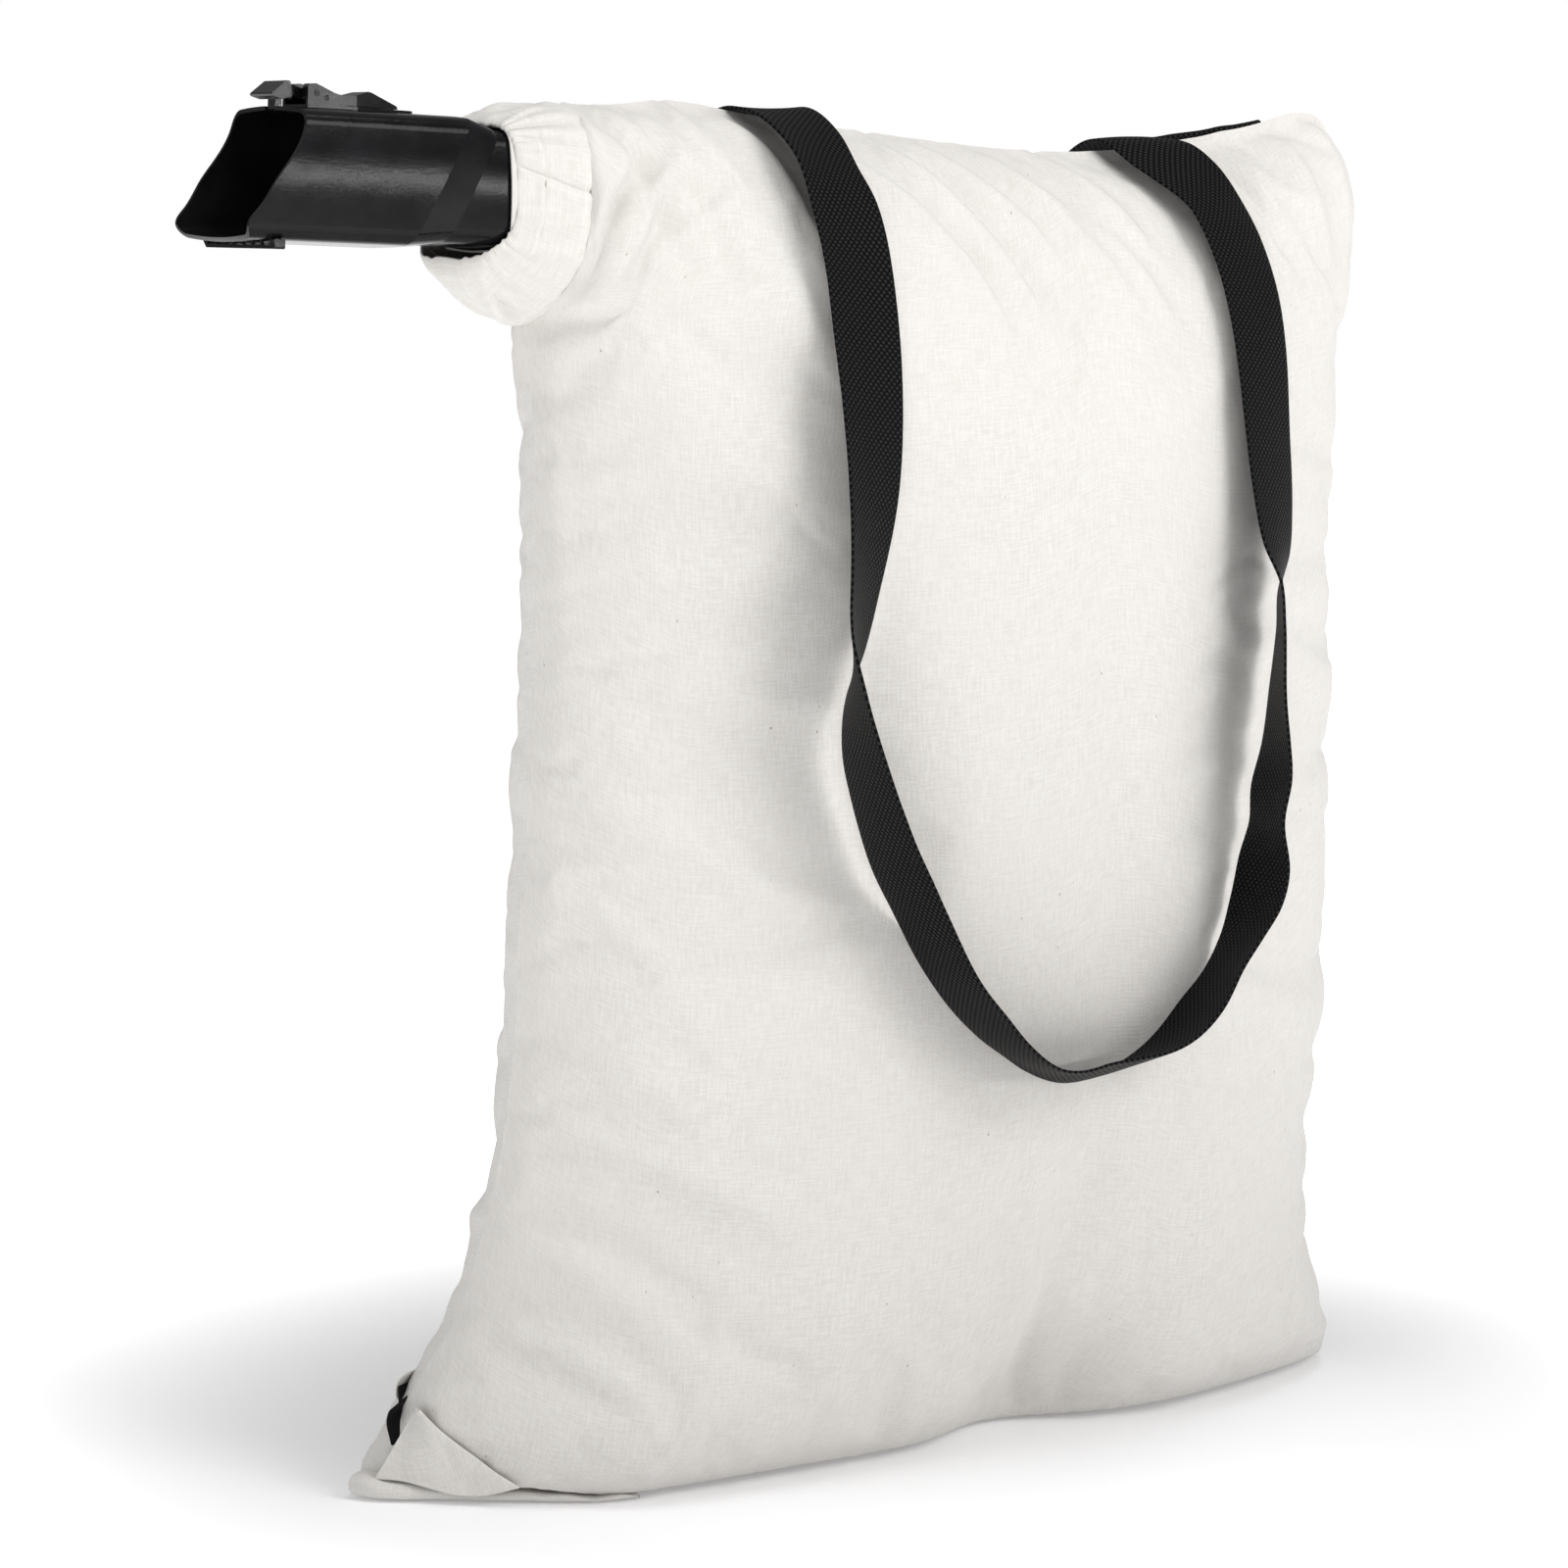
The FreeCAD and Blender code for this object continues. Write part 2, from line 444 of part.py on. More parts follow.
def zip_parts():
    """Tapes, coils, stops, slider and pull of the emptying zip."""
    made = {}
    for name, sign in (("upper", 1), ("lower", -1)):
        low, high = sorted((ZIP_Z + sign * TAPE_GAP, ZIP_Z + sign * (TAPE_GAP + TAPE_WIDE)))
        made["zip_tape_" + name] = zip_strip(0, TAPE_THICK, low, high)
        low, high = sorted((ZIP_Z + sign * TAPE_GAP, ZIP_Z + sign * (TAPE_GAP + COIL_WIDE)))
        made["zip_coil_" + name] = zip_strip(TAPE_THICK + 0.02, TAPE_THICK + COIL_THICK, low, high,
                                             ZIP_RIGHT_X - 6)
    stop_x = ZIP_RIGHT_X - 5.6
    made["zip_end_stop"] = block(stop_x, stop_x + 3.2, ZIP_Y + TAPE_THICK + 0.02, ZIP_Y + TAPE_THICK + 2.4,
                                 ZIP_Z - 3.6, ZIP_Z + 3.6)
    half = 5.6
    outer_y = ZIP_Y + TAPE_THICK + COIL_THICK + 0.35
    x0, x1 = SLIDER_X - 6.5, SLIDER_X + 6.5
    plate = block(x0, x1, outer_y, outer_y + 1.3, ZIP_Z - half, ZIP_Z + half)
    under = block(x0 + 1, x1 - 1, ZIP_Y - 1.6, ZIP_Y - 0.3, ZIP_Z - half + 0.6, ZIP_Z + half - 0.6)
    web = block(x0 + 1.2, x0 + 4.6, ZIP_Y - 0.4, outer_y + 0.1, ZIP_Z - 0.3, ZIP_Z + 0.3)
    flanges = [block(x0 + 1, x1 - 1, ZIP_Y + TAPE_THICK + 0.3, outer_y + 0.1, ZIP_Z + z0, ZIP_Z + z0 + 1.1)
               for z0 in (-half + 0.1, half - 1.2)]
    bridge = block(SLIDER_X - 4.2, SLIDER_X + 4.2, outer_y + 1.2, outer_y + 4.6, ZIP_Z - 1.3, ZIP_Z + 1.3)
    bridge = bridge.cut(block(SLIDER_X - 2.4, SLIDER_X + 2.4, outer_y + 1.2, outer_y + 3.3,
                              ZIP_Z - 3, ZIP_Z + 3))
    slider = plate.fuse([under, web, bridge] + flanges)
    made["zip_slider"] = slider.removeSplitter()
    pull_y = outer_y + 2.25
    axle = Part.makeCylinder(0.8, 8.0, V(SLIDER_X - 1.2, pull_y, ZIP_Z - 4.0), V(0, 0, 1))
    arms = [block(SLIDER_X - 9.0, SLIDER_X - 1.0, pull_y - 0.75, pull_y + 0.75,
                  ZIP_Z + z0, ZIP_Z + z0 + 1.8) for z0 in (-4.0, 2.2)]
    grip = block(SLIDER_X - 32.0, SLIDER_X - 8.8, pull_y - 0.75, pull_y + 0.75, ZIP_Z - 4.0, ZIP_Z + 4.0)
    grip = grip.cut(Part.makeCylinder(1.8, 4, V(SLIDER_X - 28.0, pull_y - 2, ZIP_Z), V(0, 1, 0)))
    made["zip_pull"] = axle.fuse(arms + [grip]).removeSplitter()
    return made, (SLIDER_X - 1.2, pull_y)


def ribbon_frames(stations, count, comes_back):
    """Places along a strap: centre, width direction and thickness direction. A strap that comes back over the
    ridge is turned the other way in its first half."""
    steps = [0.0]
    for a, b in zip(stations, stations[1:]):
        steps.append(steps[-1] + V(*[b[k] - a[k] for k in range(3)]).Length)
    line = Part.BSplineCurve()
    line.interpolate(Points=[V(*s[:3]) for s in stations], Parameters=steps)
    turn = profile([(t, s[3]) for t, s in zip(steps, stations)])
    frames = []
    for i in range(count + 1):
        t = steps[-1] * i / count
        along = V(line.tangent(t)[0])
        over_ridge = abs(along.y) * (1 if comes_back and 2 * i >= count else -1)
        flat = V(-along.z - over_ridge, 0, along.x).normalize()
        other = flat.cross(along).normalize()
        a = math.radians(turn(t))
        width = flat * math.cos(a) + other * math.sin(a)
        frames.append((line.value(t), width, along.cross(width).normalize()))
    return frames, steps[-1]


def ribbon(frames, wide, thick):
    """A strap as a solid, from flat cross-sections at its frames."""
    wires = []
    for centre, width, normal in frames:
        w, n = width * (wide / 2), normal * (thick / 2)
        corners = [centre - w - n, centre + w - n, centre + w + n, centre - w + n]
        wires.append(Part.makePolygon(corners + [corners[0]]))
    return Part.makeLoft(wires, True, True)


def strap_parts():
    """The hanging strap and its two sewn ends on the back of the ridge."""
    frames, length = ribbon_frames(STRAP, STRAP_SECTIONS, True)
    made = {"shoulder_strap": ribbon(frames, STRAP_WIDE, STRAP_THICK)}
    left = [(-107, -12.5, 774.3, 0), (-107, 2, 776.2, 0), (-107, 20, 772, 0), (-107, 40, 758.5, 0),
            (-107, 57, 741, 0)]
    right = [(155, -12.5, 760.3, 0), (155, 2, 761.6, 0), (155, 20, 757, 0), (155, 40, 743.5, 0),
             (155, 57, 726, 0)]
    for name, points in (("strap_end_left", left), ("strap_end_right", right)):
        end_frames, _ = ribbon_frames(points, STRAP_END_SECTIONS, False)
        made[name] = ribbon(end_frames, STRAP_WIDE, STRAP_THICK)
    return made, length


def main():
    os.makedirs("parts", exist_ok=True)
    front, back = bag_panels()
    band, elastic = cuff_parts()
    made = {"front_panel": front, "back_panel": back, "cuff_band": band, "cuff_elastic": elastic,
            "inlet_tube": inlet_tube(), "latch_base": latch_base(), "latch_lever": latch_lever(),
            "latch_pivot_pins": pivot_pins(), "latch_claw": latch_claw(), "latch_claw_pin": claw_pin(),
            "latch_screws": screws()}
    zips, pull_axis = zip_parts()
    straps, strap_length = strap_parts()
    made.update(zips)
    made.update(straps)
    for name, shape in made.items():
        shape.exportStep(os.path.join("parts", name + ".step"))
        box = shape.BoundBox
        print(f"{name:18s} solids {len(shape.Solids)} valid {shape.isValid()} "
              f"volume {shape.Volume / 1000:8.2f} cm3  x {box.XMin:.0f}..{box.XMax:.0f} "
              f"y {box.YMin:.0f}..{box.YMax:.0f} z {box.ZMin:.1f}..{box.ZMax:.1f}")
    for name, (x, h) in (("lever pivot", PIVOT), ("claw pin", CLAW_PIN)):
        place = tilt(Part.Vertex(at_latch(x, h))).Point
        print(name, [round(c, 3) for c in place])
    print("zip pull axis", [round(c, 3) for c in pull_axis], "strap length", round(strap_length))


main()
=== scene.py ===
# %% [markdown]
# # A blower vacuum's collection bag
# The object is a stuffed cotton bag that stands on the floor. A black moulded tube sticks out of its top
# left corner through a gathered cuff, a draw latch sits on the tube, and a long webbing strap hangs down in
# front. The hard parts and the joints come packed from CAD as a fixed frame. This file adds what CAD leaves
# plain: the canvas with its folds, the cuff, the webbing, the zip's teeth, the stitching and every finish.

import json
import math

import bpy
import numpy as np
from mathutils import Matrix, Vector


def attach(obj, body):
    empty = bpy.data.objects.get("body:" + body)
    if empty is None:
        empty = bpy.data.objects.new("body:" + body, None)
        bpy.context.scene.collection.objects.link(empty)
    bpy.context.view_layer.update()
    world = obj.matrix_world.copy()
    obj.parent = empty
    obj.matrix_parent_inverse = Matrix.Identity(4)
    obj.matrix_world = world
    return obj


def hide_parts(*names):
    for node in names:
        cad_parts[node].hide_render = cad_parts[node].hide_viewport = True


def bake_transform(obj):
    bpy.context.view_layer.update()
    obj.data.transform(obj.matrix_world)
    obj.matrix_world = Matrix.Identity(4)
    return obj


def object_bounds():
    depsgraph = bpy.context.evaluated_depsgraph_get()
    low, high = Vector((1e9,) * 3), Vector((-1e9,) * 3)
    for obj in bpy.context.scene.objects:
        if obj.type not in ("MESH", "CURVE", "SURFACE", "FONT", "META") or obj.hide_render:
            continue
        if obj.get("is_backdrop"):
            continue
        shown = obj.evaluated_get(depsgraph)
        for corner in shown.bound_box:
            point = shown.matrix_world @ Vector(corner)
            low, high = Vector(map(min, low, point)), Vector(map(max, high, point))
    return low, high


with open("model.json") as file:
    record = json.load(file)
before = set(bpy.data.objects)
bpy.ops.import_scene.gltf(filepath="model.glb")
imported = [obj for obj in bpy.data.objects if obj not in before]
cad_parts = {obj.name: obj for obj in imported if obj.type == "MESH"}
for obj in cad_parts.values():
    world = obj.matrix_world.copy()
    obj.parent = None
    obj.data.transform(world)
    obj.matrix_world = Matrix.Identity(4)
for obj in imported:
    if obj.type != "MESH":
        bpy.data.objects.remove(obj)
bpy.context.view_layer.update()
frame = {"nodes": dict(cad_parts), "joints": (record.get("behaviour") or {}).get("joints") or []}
nodes = frame["nodes"]

# %% [markdown]
# ## Small tools
# Almost every piece here is a surface over a grid: one array of points, (rows, columns, 3). One function
# turns such an array into a mesh with a UV map in metres of cloth, so that a weave can follow the cloth and
# not the room. Profiles are smooth curves through a few listed values.

# %% Grids and curves
def smooth_curve(knots):
    """A smooth function through (t, value) pairs: a cubic on each span, whose slopes at the knots are the
    averages of the slopes on both sides, so that it doesn't overshoot much."""
    t, v = (np.array(k, float) for k in zip(*knots))
    slope = np.diff(v) / np.diff(t)
    m = np.concatenate([slope[:1], (slope[:-1] + slope[1:]) / 2, slope[-1:]])

    def curve(x):
        x = np.clip(np.asarray(x, float), t[0], t[-1])
        i = np.clip(np.searchsorted(t, x, side="right") - 1, 0, len(t) - 2)
        h = t[i + 1] - t[i]
        s = (x - t[i]) / h
        return ((2 * s**3 - 3 * s**2 + 1) * v[i] + (s**3 - 2 * s**2 + s) * h * m[i]
                + (3 * s**2 - 2 * s**3) * v[i + 1] + (s**3 - s**2) * h * m[i + 1])
    return curve


def bump(x, centre, width):
    """A smooth hill: one at the centre, and near nothing two widths away."""
    return np.exp(-((x - centre) / width) ** 2)


def ease(x, low, high):
    """From 0 at low to 1 at high, smoothly."""
    s = np.clip((x - low) / (high - low), 0, 1)
    return s * s * (3 - 2 * s)


def blur(field, rows, columns):
    """A Gaussian blur of a grid of values, with its edges repeated: a weighted sum of shifted copies."""
    for axis, sigma in ((0, rows), (1, columns)):
        reach = int(3 * sigma) + 1
        weights = np.exp(-0.5 * (np.arange(-reach, reach + 1) / sigma) ** 2)
        pad = [(0, 0)] * field.ndim
        pad[axis] = (reach, reach)
        padded = np.pad(field, pad, mode="edge")
        count = field.shape[axis]
        total = sum(w * np.take(padded, range(k, k + count), axis) for k, w in enumerate(weights))
        field = total / weights.sum()
    return field


def grid_faces(rows, columns, round_columns=False, flip=False):
    """The quads of a grid, its points numbered row by row. A round one's last column meets its first."""
    i = np.arange(rows - 1)[:, None]
    j = np.arange(columns if round_columns else columns - 1)[None, :]
    a, b = i * columns + j, (i + 1) * columns + j
    c, d = (i + 1) * columns + (j + 1) % columns, i * columns + (j + 1) % columns
    quads = np.stack([a, d, c, b] if flip else [a, b, c, d], -1)
    return quads.reshape(-1, 4)


def make_mesh(name, points, faces, uv=None):
    """A mesh object from arrays. uv holds one pair for each point."""
    mesh = bpy.data.meshes.new(name)
    mesh.from_pydata(np.asarray(points).reshape(-1, 3).tolist(), [], np.asarray(faces).tolist())
    if uv is not None:
        layer = mesh.uv_layers.new(name="cloth")
        corners = np.zeros(len(mesh.loops), np.int32)
        mesh.loops.foreach_get("vertex_index", corners)
        layer.data.foreach_set("uv", np.asarray(uv, float).reshape(-1, 2)[corners].ravel())
    mesh.polygons.foreach_set("use_smooth", [True] * len(mesh.polygons))
    mesh.update()
    thing = bpy.data.objects.new(name, mesh)
    bpy.context.scene.collection.objects.link(thing)
    return thing


def modifier(thing, kind, **settings):
    made = thing.modifiers.new(kind.title(), kind)
    for key, value in settings.items():
        setattr(made, key, value)
    return made


def bag_cloth(name, points, faces, uv, finish, thick, offset=0.0):
    """A piece of cloth or webbing on the bag: its finish, thickness, one smoothing level and body."""
    thing = make_mesh(name, points, faces, uv)
    thing.data.materials.append(finish)
    modifier(thing, "SOLIDIFY", thickness=thick, offset=offset)
    modifier(thing, "SUBSURF", levels=1, render_levels=1)
    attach(thing, "bag")
    return thing


def cloth_lengths(points):
    """Distances along the rows and the columns of a grid, which serve as a UV map in metres."""
    down = np.linalg.norm(np.diff(points, axis=0), axis=2)
    across = np.linalg.norm(np.diff(points, axis=1), axis=2)
    v = np.concatenate([np.zeros((1, points.shape[1])), np.cumsum(down, 0)])
    u = np.concatenate([np.zeros((points.shape[0], 1)), np.cumsum(across, 1)], 1)
    u = u - u[:, u.shape[1] // 2][:, None]
    return np.stack([u, v], -1)


# %% [markdown]
# ## Shader maths
# A finish is a tree of nodes. Written out node by node it is long, so a small class wraps a socket, and + -
# * / on it add Math nodes. Everything else comes from one method, node(), which takes the node's type, its
# settings and what goes into its sockets.

# %% Node helper
class Value:
    """A socket of a material, with arithmetic."""

    def __init__(self, finish, socket):
        self.finish, self.socket = finish, socket

    def math(self, operation, *others):
        sockets = dict(enumerate((self, *others)))
        return self.finish.node("ShaderNodeMath", {"operation": operation}, sockets)

    def __add__(self, other): return self.math("ADD", other)
    def __sub__(self, other): return self.math("SUBTRACT", other)
    def __mul__(self, other): return self.math("MULTIPLY", other)
    def __truediv__(self, other): return self.math("DIVIDE", other)
    def __pow__(self, other): return self.math("POWER", other)
    def __radd__(self, other): return self.math("ADD", other)
    def __rmul__(self, other): return self.math("MULTIPLY", other)

    def __rsub__(self, other):
        return self.finish.node("ShaderNodeMath", {"operation": "SUBTRACT"}, {0: other, 1: self})

    def clamp(self, low, high):
        """0 below low, 1 above high, and smooth between."""
        return self.finish.node("ShaderNodeMapRange", {"interpolation_type": "SMOOTHSTEP"},
                                {"Value": self, "From Min": low, "From Max": high})


class Finish:
    """A material under construction."""

    def __init__(self, name, **shader):
        self.material = bpy.data.materials.new(name)
        self.material.use_nodes = True
        self.tree = self.material.node_tree
        self.shader = self.tree.nodes["Principled BSDF"]
        for socket, value in shader.items():
            self.shader.inputs[socket.replace("_", " ")].default_value = value

    def node(self, kind, settings=None, inputs=None, output=0):
        made = self.tree.nodes.new(kind)
        for key, value in (settings or {}).items():
            setattr(made, key, value)
        self.feed(made, inputs or {})
        return Value(self, made.outputs[output])

    def feed(self, made, inputs):
        for socket, value in inputs.items():
            if isinstance(value, Value):
                self.tree.links.new(value.socket, made.inputs[socket])
            else:
                made.inputs[socket].default_value = value

    def place(self, which="Object"):
        """The piece's own coordinates, in metres: Object, or UV for the cloth's."""
        return self.node("ShaderNodeTexCoord", output=which)

    def stretch(self, vector, scale, turn=0.0):
        return self.node("ShaderNodeMapping", None, {0: vector, "Scale": scale, "Rotation": (0, 0, turn)})

    def noise(self, vector, scale, detail=2.0, roughness=0.5):
        return self.node("ShaderNodeTexNoise", None,
                         {"Vector": vector, "Scale": scale, "Detail": detail, "Roughness": roughness})

    def parts(self, vector, first=0, second=1):
        """Two of a vector's parts, x and y unless others are named."""
        split = self.tree.nodes.new("ShaderNodeSeparateXYZ")
        self.feed(split, {0: vector})
        return Value(self, split.outputs[first]), Value(self, split.outputs[second])

    def mix(self, factor, a, b):
        made = self.tree.nodes.new("ShaderNodeMix")
        made.data_type = "RGBA"
        self.feed(made, {"Factor": factor})
        for socket, value in ((6, a), (7, b)):
            self.feed(made, {socket: value})
        return Value(self, made.outputs[2])

    def bump(self, height, distance, strength=1.0, over=None):
        """A normal from a height, in metres of relief. over is an earlier one to add to."""
        inputs = {"Height": height, "Distance": distance, "Strength": strength}
        if over is not None:
            inputs["Normal"] = over
        return self.node("ShaderNodeBump", None, inputs)

    def set(self, **sockets):
        self.feed(self.shader, {k.replace("_", " "): v for k, v in sockets.items()})
        return self.material


# %% [markdown]
# ## Canvas
# Unbleached cotton is never one colour: thick and thin yarns make short streaks both ways, the whole cloth
# has faint clouds, and bits of seed husk stay in it as specks. The streaks are noise stretched along the
# warp and along the weft. The weave itself is two sine waves at right angles, and only shows close up, as
# relief.

# %% Canvas finish
THREAD = 0.00075  # pitch of the yarns


def canvas_finish(name, tone=1.0, source="UV"):
    cloth = Finish(name, Roughness=0.92, Sheen_Weight=0.25, Sheen_Roughness=0.6, Specular_IOR_Level=0.25)
    uv = cloth.place(source)
    u, v = cloth.parts(uv)
    warp = (u * (2 * math.pi / THREAD)).math("SINE")
    weft = (v * (2 * math.pi / THREAD)).math("SINE")
    slubs_up = cloth.noise(cloth.stretch(uv, (900, 70, 1)), 1.0, 2.0)
    slubs_across = cloth.noise(cloth.stretch(uv, (70, 900, 1)), 1.0, 2.0)
    clouds = cloth.noise(uv, 9.0, 3.0)
    fibres = cloth.noise(uv, 420.0, 3.0, 0.65)
    streaks = (slubs_up + slubs_across) * 0.5
    shade = (streaks * 0.75 + fibres * 0.25).clamp(0.36, 0.64)
    pale = (0.715 * tone, 0.697 * tone, 0.668 * tone, 1)
    deep = (0.62 * tone, 0.598 * tone, 0.562 * tone, 1)
    body = cloth.mix(shade, deep, pale)
    body = cloth.mix(clouds.clamp(0.3, 0.7) * 0.35, body, (0.675 * tone, 0.653 * tone, 0.62 * tone, 1))
    cells = cloth.tree.nodes.new("ShaderNodeTexVoronoi")
    cells.voronoi_dimensions = "2D"
    cloth.feed(cells, {"Vector": cloth.stretch(uv, (1, 0.6, 1)), "Scale": 75.0})
    distance, tint = Value(cloth, cells.outputs["Distance"]), Value(cloth, cells.outputs["Color"])
    chance, size = cloth.parts(tint)
    specks = (1 - distance.clamp(0.02, 0.05)) * chance.clamp(0.955, 0.96) * (0.25 + size * 0.6)
    body = cloth.mix(specks, body, (0.22, 0.15, 0.08, 1))
    relief = (warp + weft) * 0.25 + streaks * 0.9
    normal = cloth.bump(relief, 0.00022, 0.8)
    normal = cloth.bump(cloth.noise(uv, 95.0, 3.0), 0.0009, 0.5, over=normal)
    return cloth.set(Base_Color=body, Normal=normal)


CANVAS = canvas_finish("canvas")

# %% [markdown]
# ## Black parts
# The tube is polypropylene with a spark-eroded grain: thousands of small pits, each of which throws its own
# glint, so the highlight along its side breaks into sparkles. Two scales of noise make the grain. The latch
# is smooth nylon, glossy enough to show its edges. The webbing's weave is a brick pattern of small raised
# yarns, whose colour is painted lighter on top as a painted highlight and near black between as painted
# shade.

# %% Plastic, metal and rubber finishes
def grained_plastic(name):
    plastic = Finish(name, Roughness=0.36, Specular_IOR_Level=0.13)
    here = plastic.place()
    grain = plastic.noise(here, 1250.0, 3.0, 0.6)
    pits = plastic.noise(here, 560.0, 2.0, 0.5)
    rub = plastic.noise(here, 26.0, 4.0, 0.6)
    height = grain * 0.6 + pits
    return plastic.set(
        Base_Color=plastic.mix(rub.clamp(0.35, 0.7), (0.0045, 0.0045, 0.005, 1), (0.009, 0.009, 0.010, 1)),
        Roughness=0.07 + rub * 0.03 + grain * 0.1, Normal=plastic.bump(height, 0.00006, 0.8))


def smooth_plastic(name, roughness=0.2, tone=0.0045):
    plastic = Finish(name, Roughness=roughness, Specular_IOR_Level=0.3)
    here = plastic.place()
    haze = plastic.noise(here, 60.0, 4.0, 0.6)
    fine = plastic.noise(here, 1500.0, 2.0)
    dark, light = (tone, tone, tone * 1.1, 1), (tone * 1.8, tone * 1.8, tone * 1.95, 1)
    colour = plastic.mix(haze.clamp(0.3, 0.7), dark, light)
    return plastic.set(Base_Color=colour, Roughness=roughness - 0.05 + haze * 0.16,
                       Normal=plastic.bump(fine, 0.00005, 0.35))


def plated_steel(name, colour=(0.56, 0.56, 0.58, 1), roughness=0.28):
    metal = Finish(name, Metallic=1.0, Roughness=roughness)
    here = metal.place()
    scuff = metal.noise(metal.stretch(here, (1, 1, 6)), 300.0, 3.0)
    worn = tuple(c * 0.7 for c in colour[:3]) + (1,)
    return metal.set(Base_Color=metal.mix(scuff.clamp(0.4, 0.8), colour, worn),
                     Roughness=roughness - 0.06 + scuff * 0.2, Normal=metal.bump(scuff, 0.00004, 0.4))


TUBE = grained_plastic("tube_plastic")
LATCH = smooth_plastic("latch_plastic")
BLACK_STEEL = plated_steel("blackened_steel", (0.035, 0.035, 0.037, 1), 0.35)
LACQUER = smooth_plastic("zip_lacquer", 0.2, 0.009)

# %% Webbing finish
WEB_WIDE = 0.05
DOTS_ACROSS = 12
DOT_PITCH = 0.0042  # along the strap, for two staggered rows


def webbing_finish(name, dots=DOTS_ACROSS, wide=WEB_WIDE, pitch=DOT_PITCH, source="UV"):
    """Raised yarns in a brick pattern: u runs across the strap and v along it, both in metres. On a piece of
    the CAD model, which has no UV map, u is its height and v its x."""
    web = Finish(name, Roughness=0.5, Specular_IOR_Level=0.06)
    place = web.place(source)
    u, v = web.parts(place) if source == "UV" else web.parts(place, 2, 0)
    across, along = u * (dots / wide), v * (1 / pitch)

    def yarns(shift):
        a = ((across + shift) * math.pi).math("SINE").math("ABSOLUTE")
        b = ((along + shift) * math.pi).math("SINE").math("ABSOLUTE")
        return (a ** 0.8) * (b ** 1.4)
    raised = yarns(0.0).math("MAXIMUM", yarns(0.5))
    threads = (v * (2 * math.pi / 0.0006)).math("SINE") * 0.06
    fuzz = web.noise(place, 900.0, 3.0)
    # painted highlight and shade: the raised yarns get the lighter colour and the hollows between them the
    # near-black one
    colour = web.mix(raised.clamp(0.55, 0.98), (0.0006, 0.0006, 0.0008, 1), (0.022, 0.022, 0.023, 1))
    normal = web.bump(raised + threads + fuzz * 0.12, 0.00065, 0.9)
    return web.set(Base_Color=colour, Roughness=0.62 - raised * 0.2, Normal=normal)


WEBBING = webbing_finish("webbing")
TAPE = webbing_finish("zip_tape", 16, 0.013, 0.0016, "Object")
ELASTIC = canvas_finish("elastic", 0.95, "Object")

# %% [markdown]
# ## The bag
# Two panels are sewn face to face round three sides, turned and filled. Filled cloth can't stay flat and
# can't stretch, so each panel swells in the middle, its side seams pull in, and its top sags between the
# corners. A pillow like that could come from a cloth simulation of two flat rectangles, but its outline
# would be whatever the solver finds. Here the filled shape is a formula, so the outline is right, and a
# simulation of slightly oversized cloth on top of it makes the small folds that nobody could place by hand.
#
# A point of a panel is (s, t): s from -1 at the tube's side to 1, t from 0 at the bottom seam to 1 at the
# ridge.

# %% Filled shape
MM = 0.001
HEIGHT = 775
LEFT = smooth_curve([(0.0, -342), (0.015, -341), (0.045, -330), (0.077, -314), (0.105, -301), (0.13, -293),
                     (0.18, -286), (0.24, -279), (0.3, -275), (0.36, -271), (0.46, -267), (0.6, -261),
                     (0.8, -261), (0.852, -266), (0.87, -262), (0.93, -254), (1.0, -250)])
RIGHT = smooth_curve([(0.0, 320), (0.03, 316), (0.06, 306), (0.1, 296), (0.18, 292), (0.3, 297), (0.42, 299),
                      (0.55, 299), (0.7, 301), (0.8, 306), (0.88, 318), (0.94, 329), (0.975, 328),
                      (1.0, 318)])
RIDGE = smooth_curve([(-1.0, 776), (-0.86, 777), (-0.72, 780), (-0.5, 771), (-0.32, 765), (-0.1, 758),
                      (0.15, 752), (0.4, 752), (0.6, 759), (0.78, 768), (0.9, 775), (0.96, 772), (1.0, 758)])
PLAN = 2.5  # how square the bag is in plan
NECK_LOW, NECK_HIGH, NECK_DEEP = 662, 776, 50
# the bottom corner under the tube lies further back than the rest of the seam
SEAM_BACK = smooth_curve([(0.0, 62), (0.04, 50), (0.08, 42), (0.14, 29), (0.2, 17), (0.28, 6), (0.36, 0),
                          (1.0, 0)])

# The zip in the back panel: its height, and how far back it is at each x
ZIP_Z = 46
ZIP_LINE = smooth_curve([(-322, 49), (-296, 63.5), (-264, 75), (-210, 86.5), (-158, 91.5), (-100, 91.5),
                         (0, 91.5), (185, 91.5), (240, 88)])

# Upright profile through the middle: share of the cloth's height, how deep, how high
PROFILE_DEPTH = smooth_curve([(0, 0), (0.05, 34), (0.085, 54), (0.115, 72), (0.15, 87), (0.2, 98),
                              (0.28, 108),
                              (0.4, 117), (0.55, 118), (0.68, 114), (0.8, 102), (0.88, 84), (0.94, 58),
                              (0.975, 31), (1.0, 0)])
PROFILE_RISE = smooth_curve([(0, 0), (0.05, 0.0005), (0.085, 0.006), (0.115, 0.026), (0.15, 0.058),
                             (0.2, 0.112), (0.28, 0.205), (0.4, 0.347), (0.55, 0.52), (0.68, 0.67),
                             (0.8, 0.805), (0.88, 0.89), (0.94, 0.95), (0.975, 0.98), (1.0, 1.0)])
SIDE_RISE = smooth_curve([(0, 0), (0.06, 0.012), (0.12, 0.05), (0.2, 0.13), (0.5, 0.475), (0.8, 0.8),
                          (1.0, 1.0)])


def neck_depth(z):
    """Half the depth of the sleeve's mouth at a height, in mm: a squarish ring."""
    up = (z - (NECK_LOW + NECK_HIGH) / 2) / ((NECK_HIGH - NECK_LOW) / 2)
    return NECK_DEEP * np.clip(1 - np.abs(up) ** 2.6, 0, 1) ** 0.5


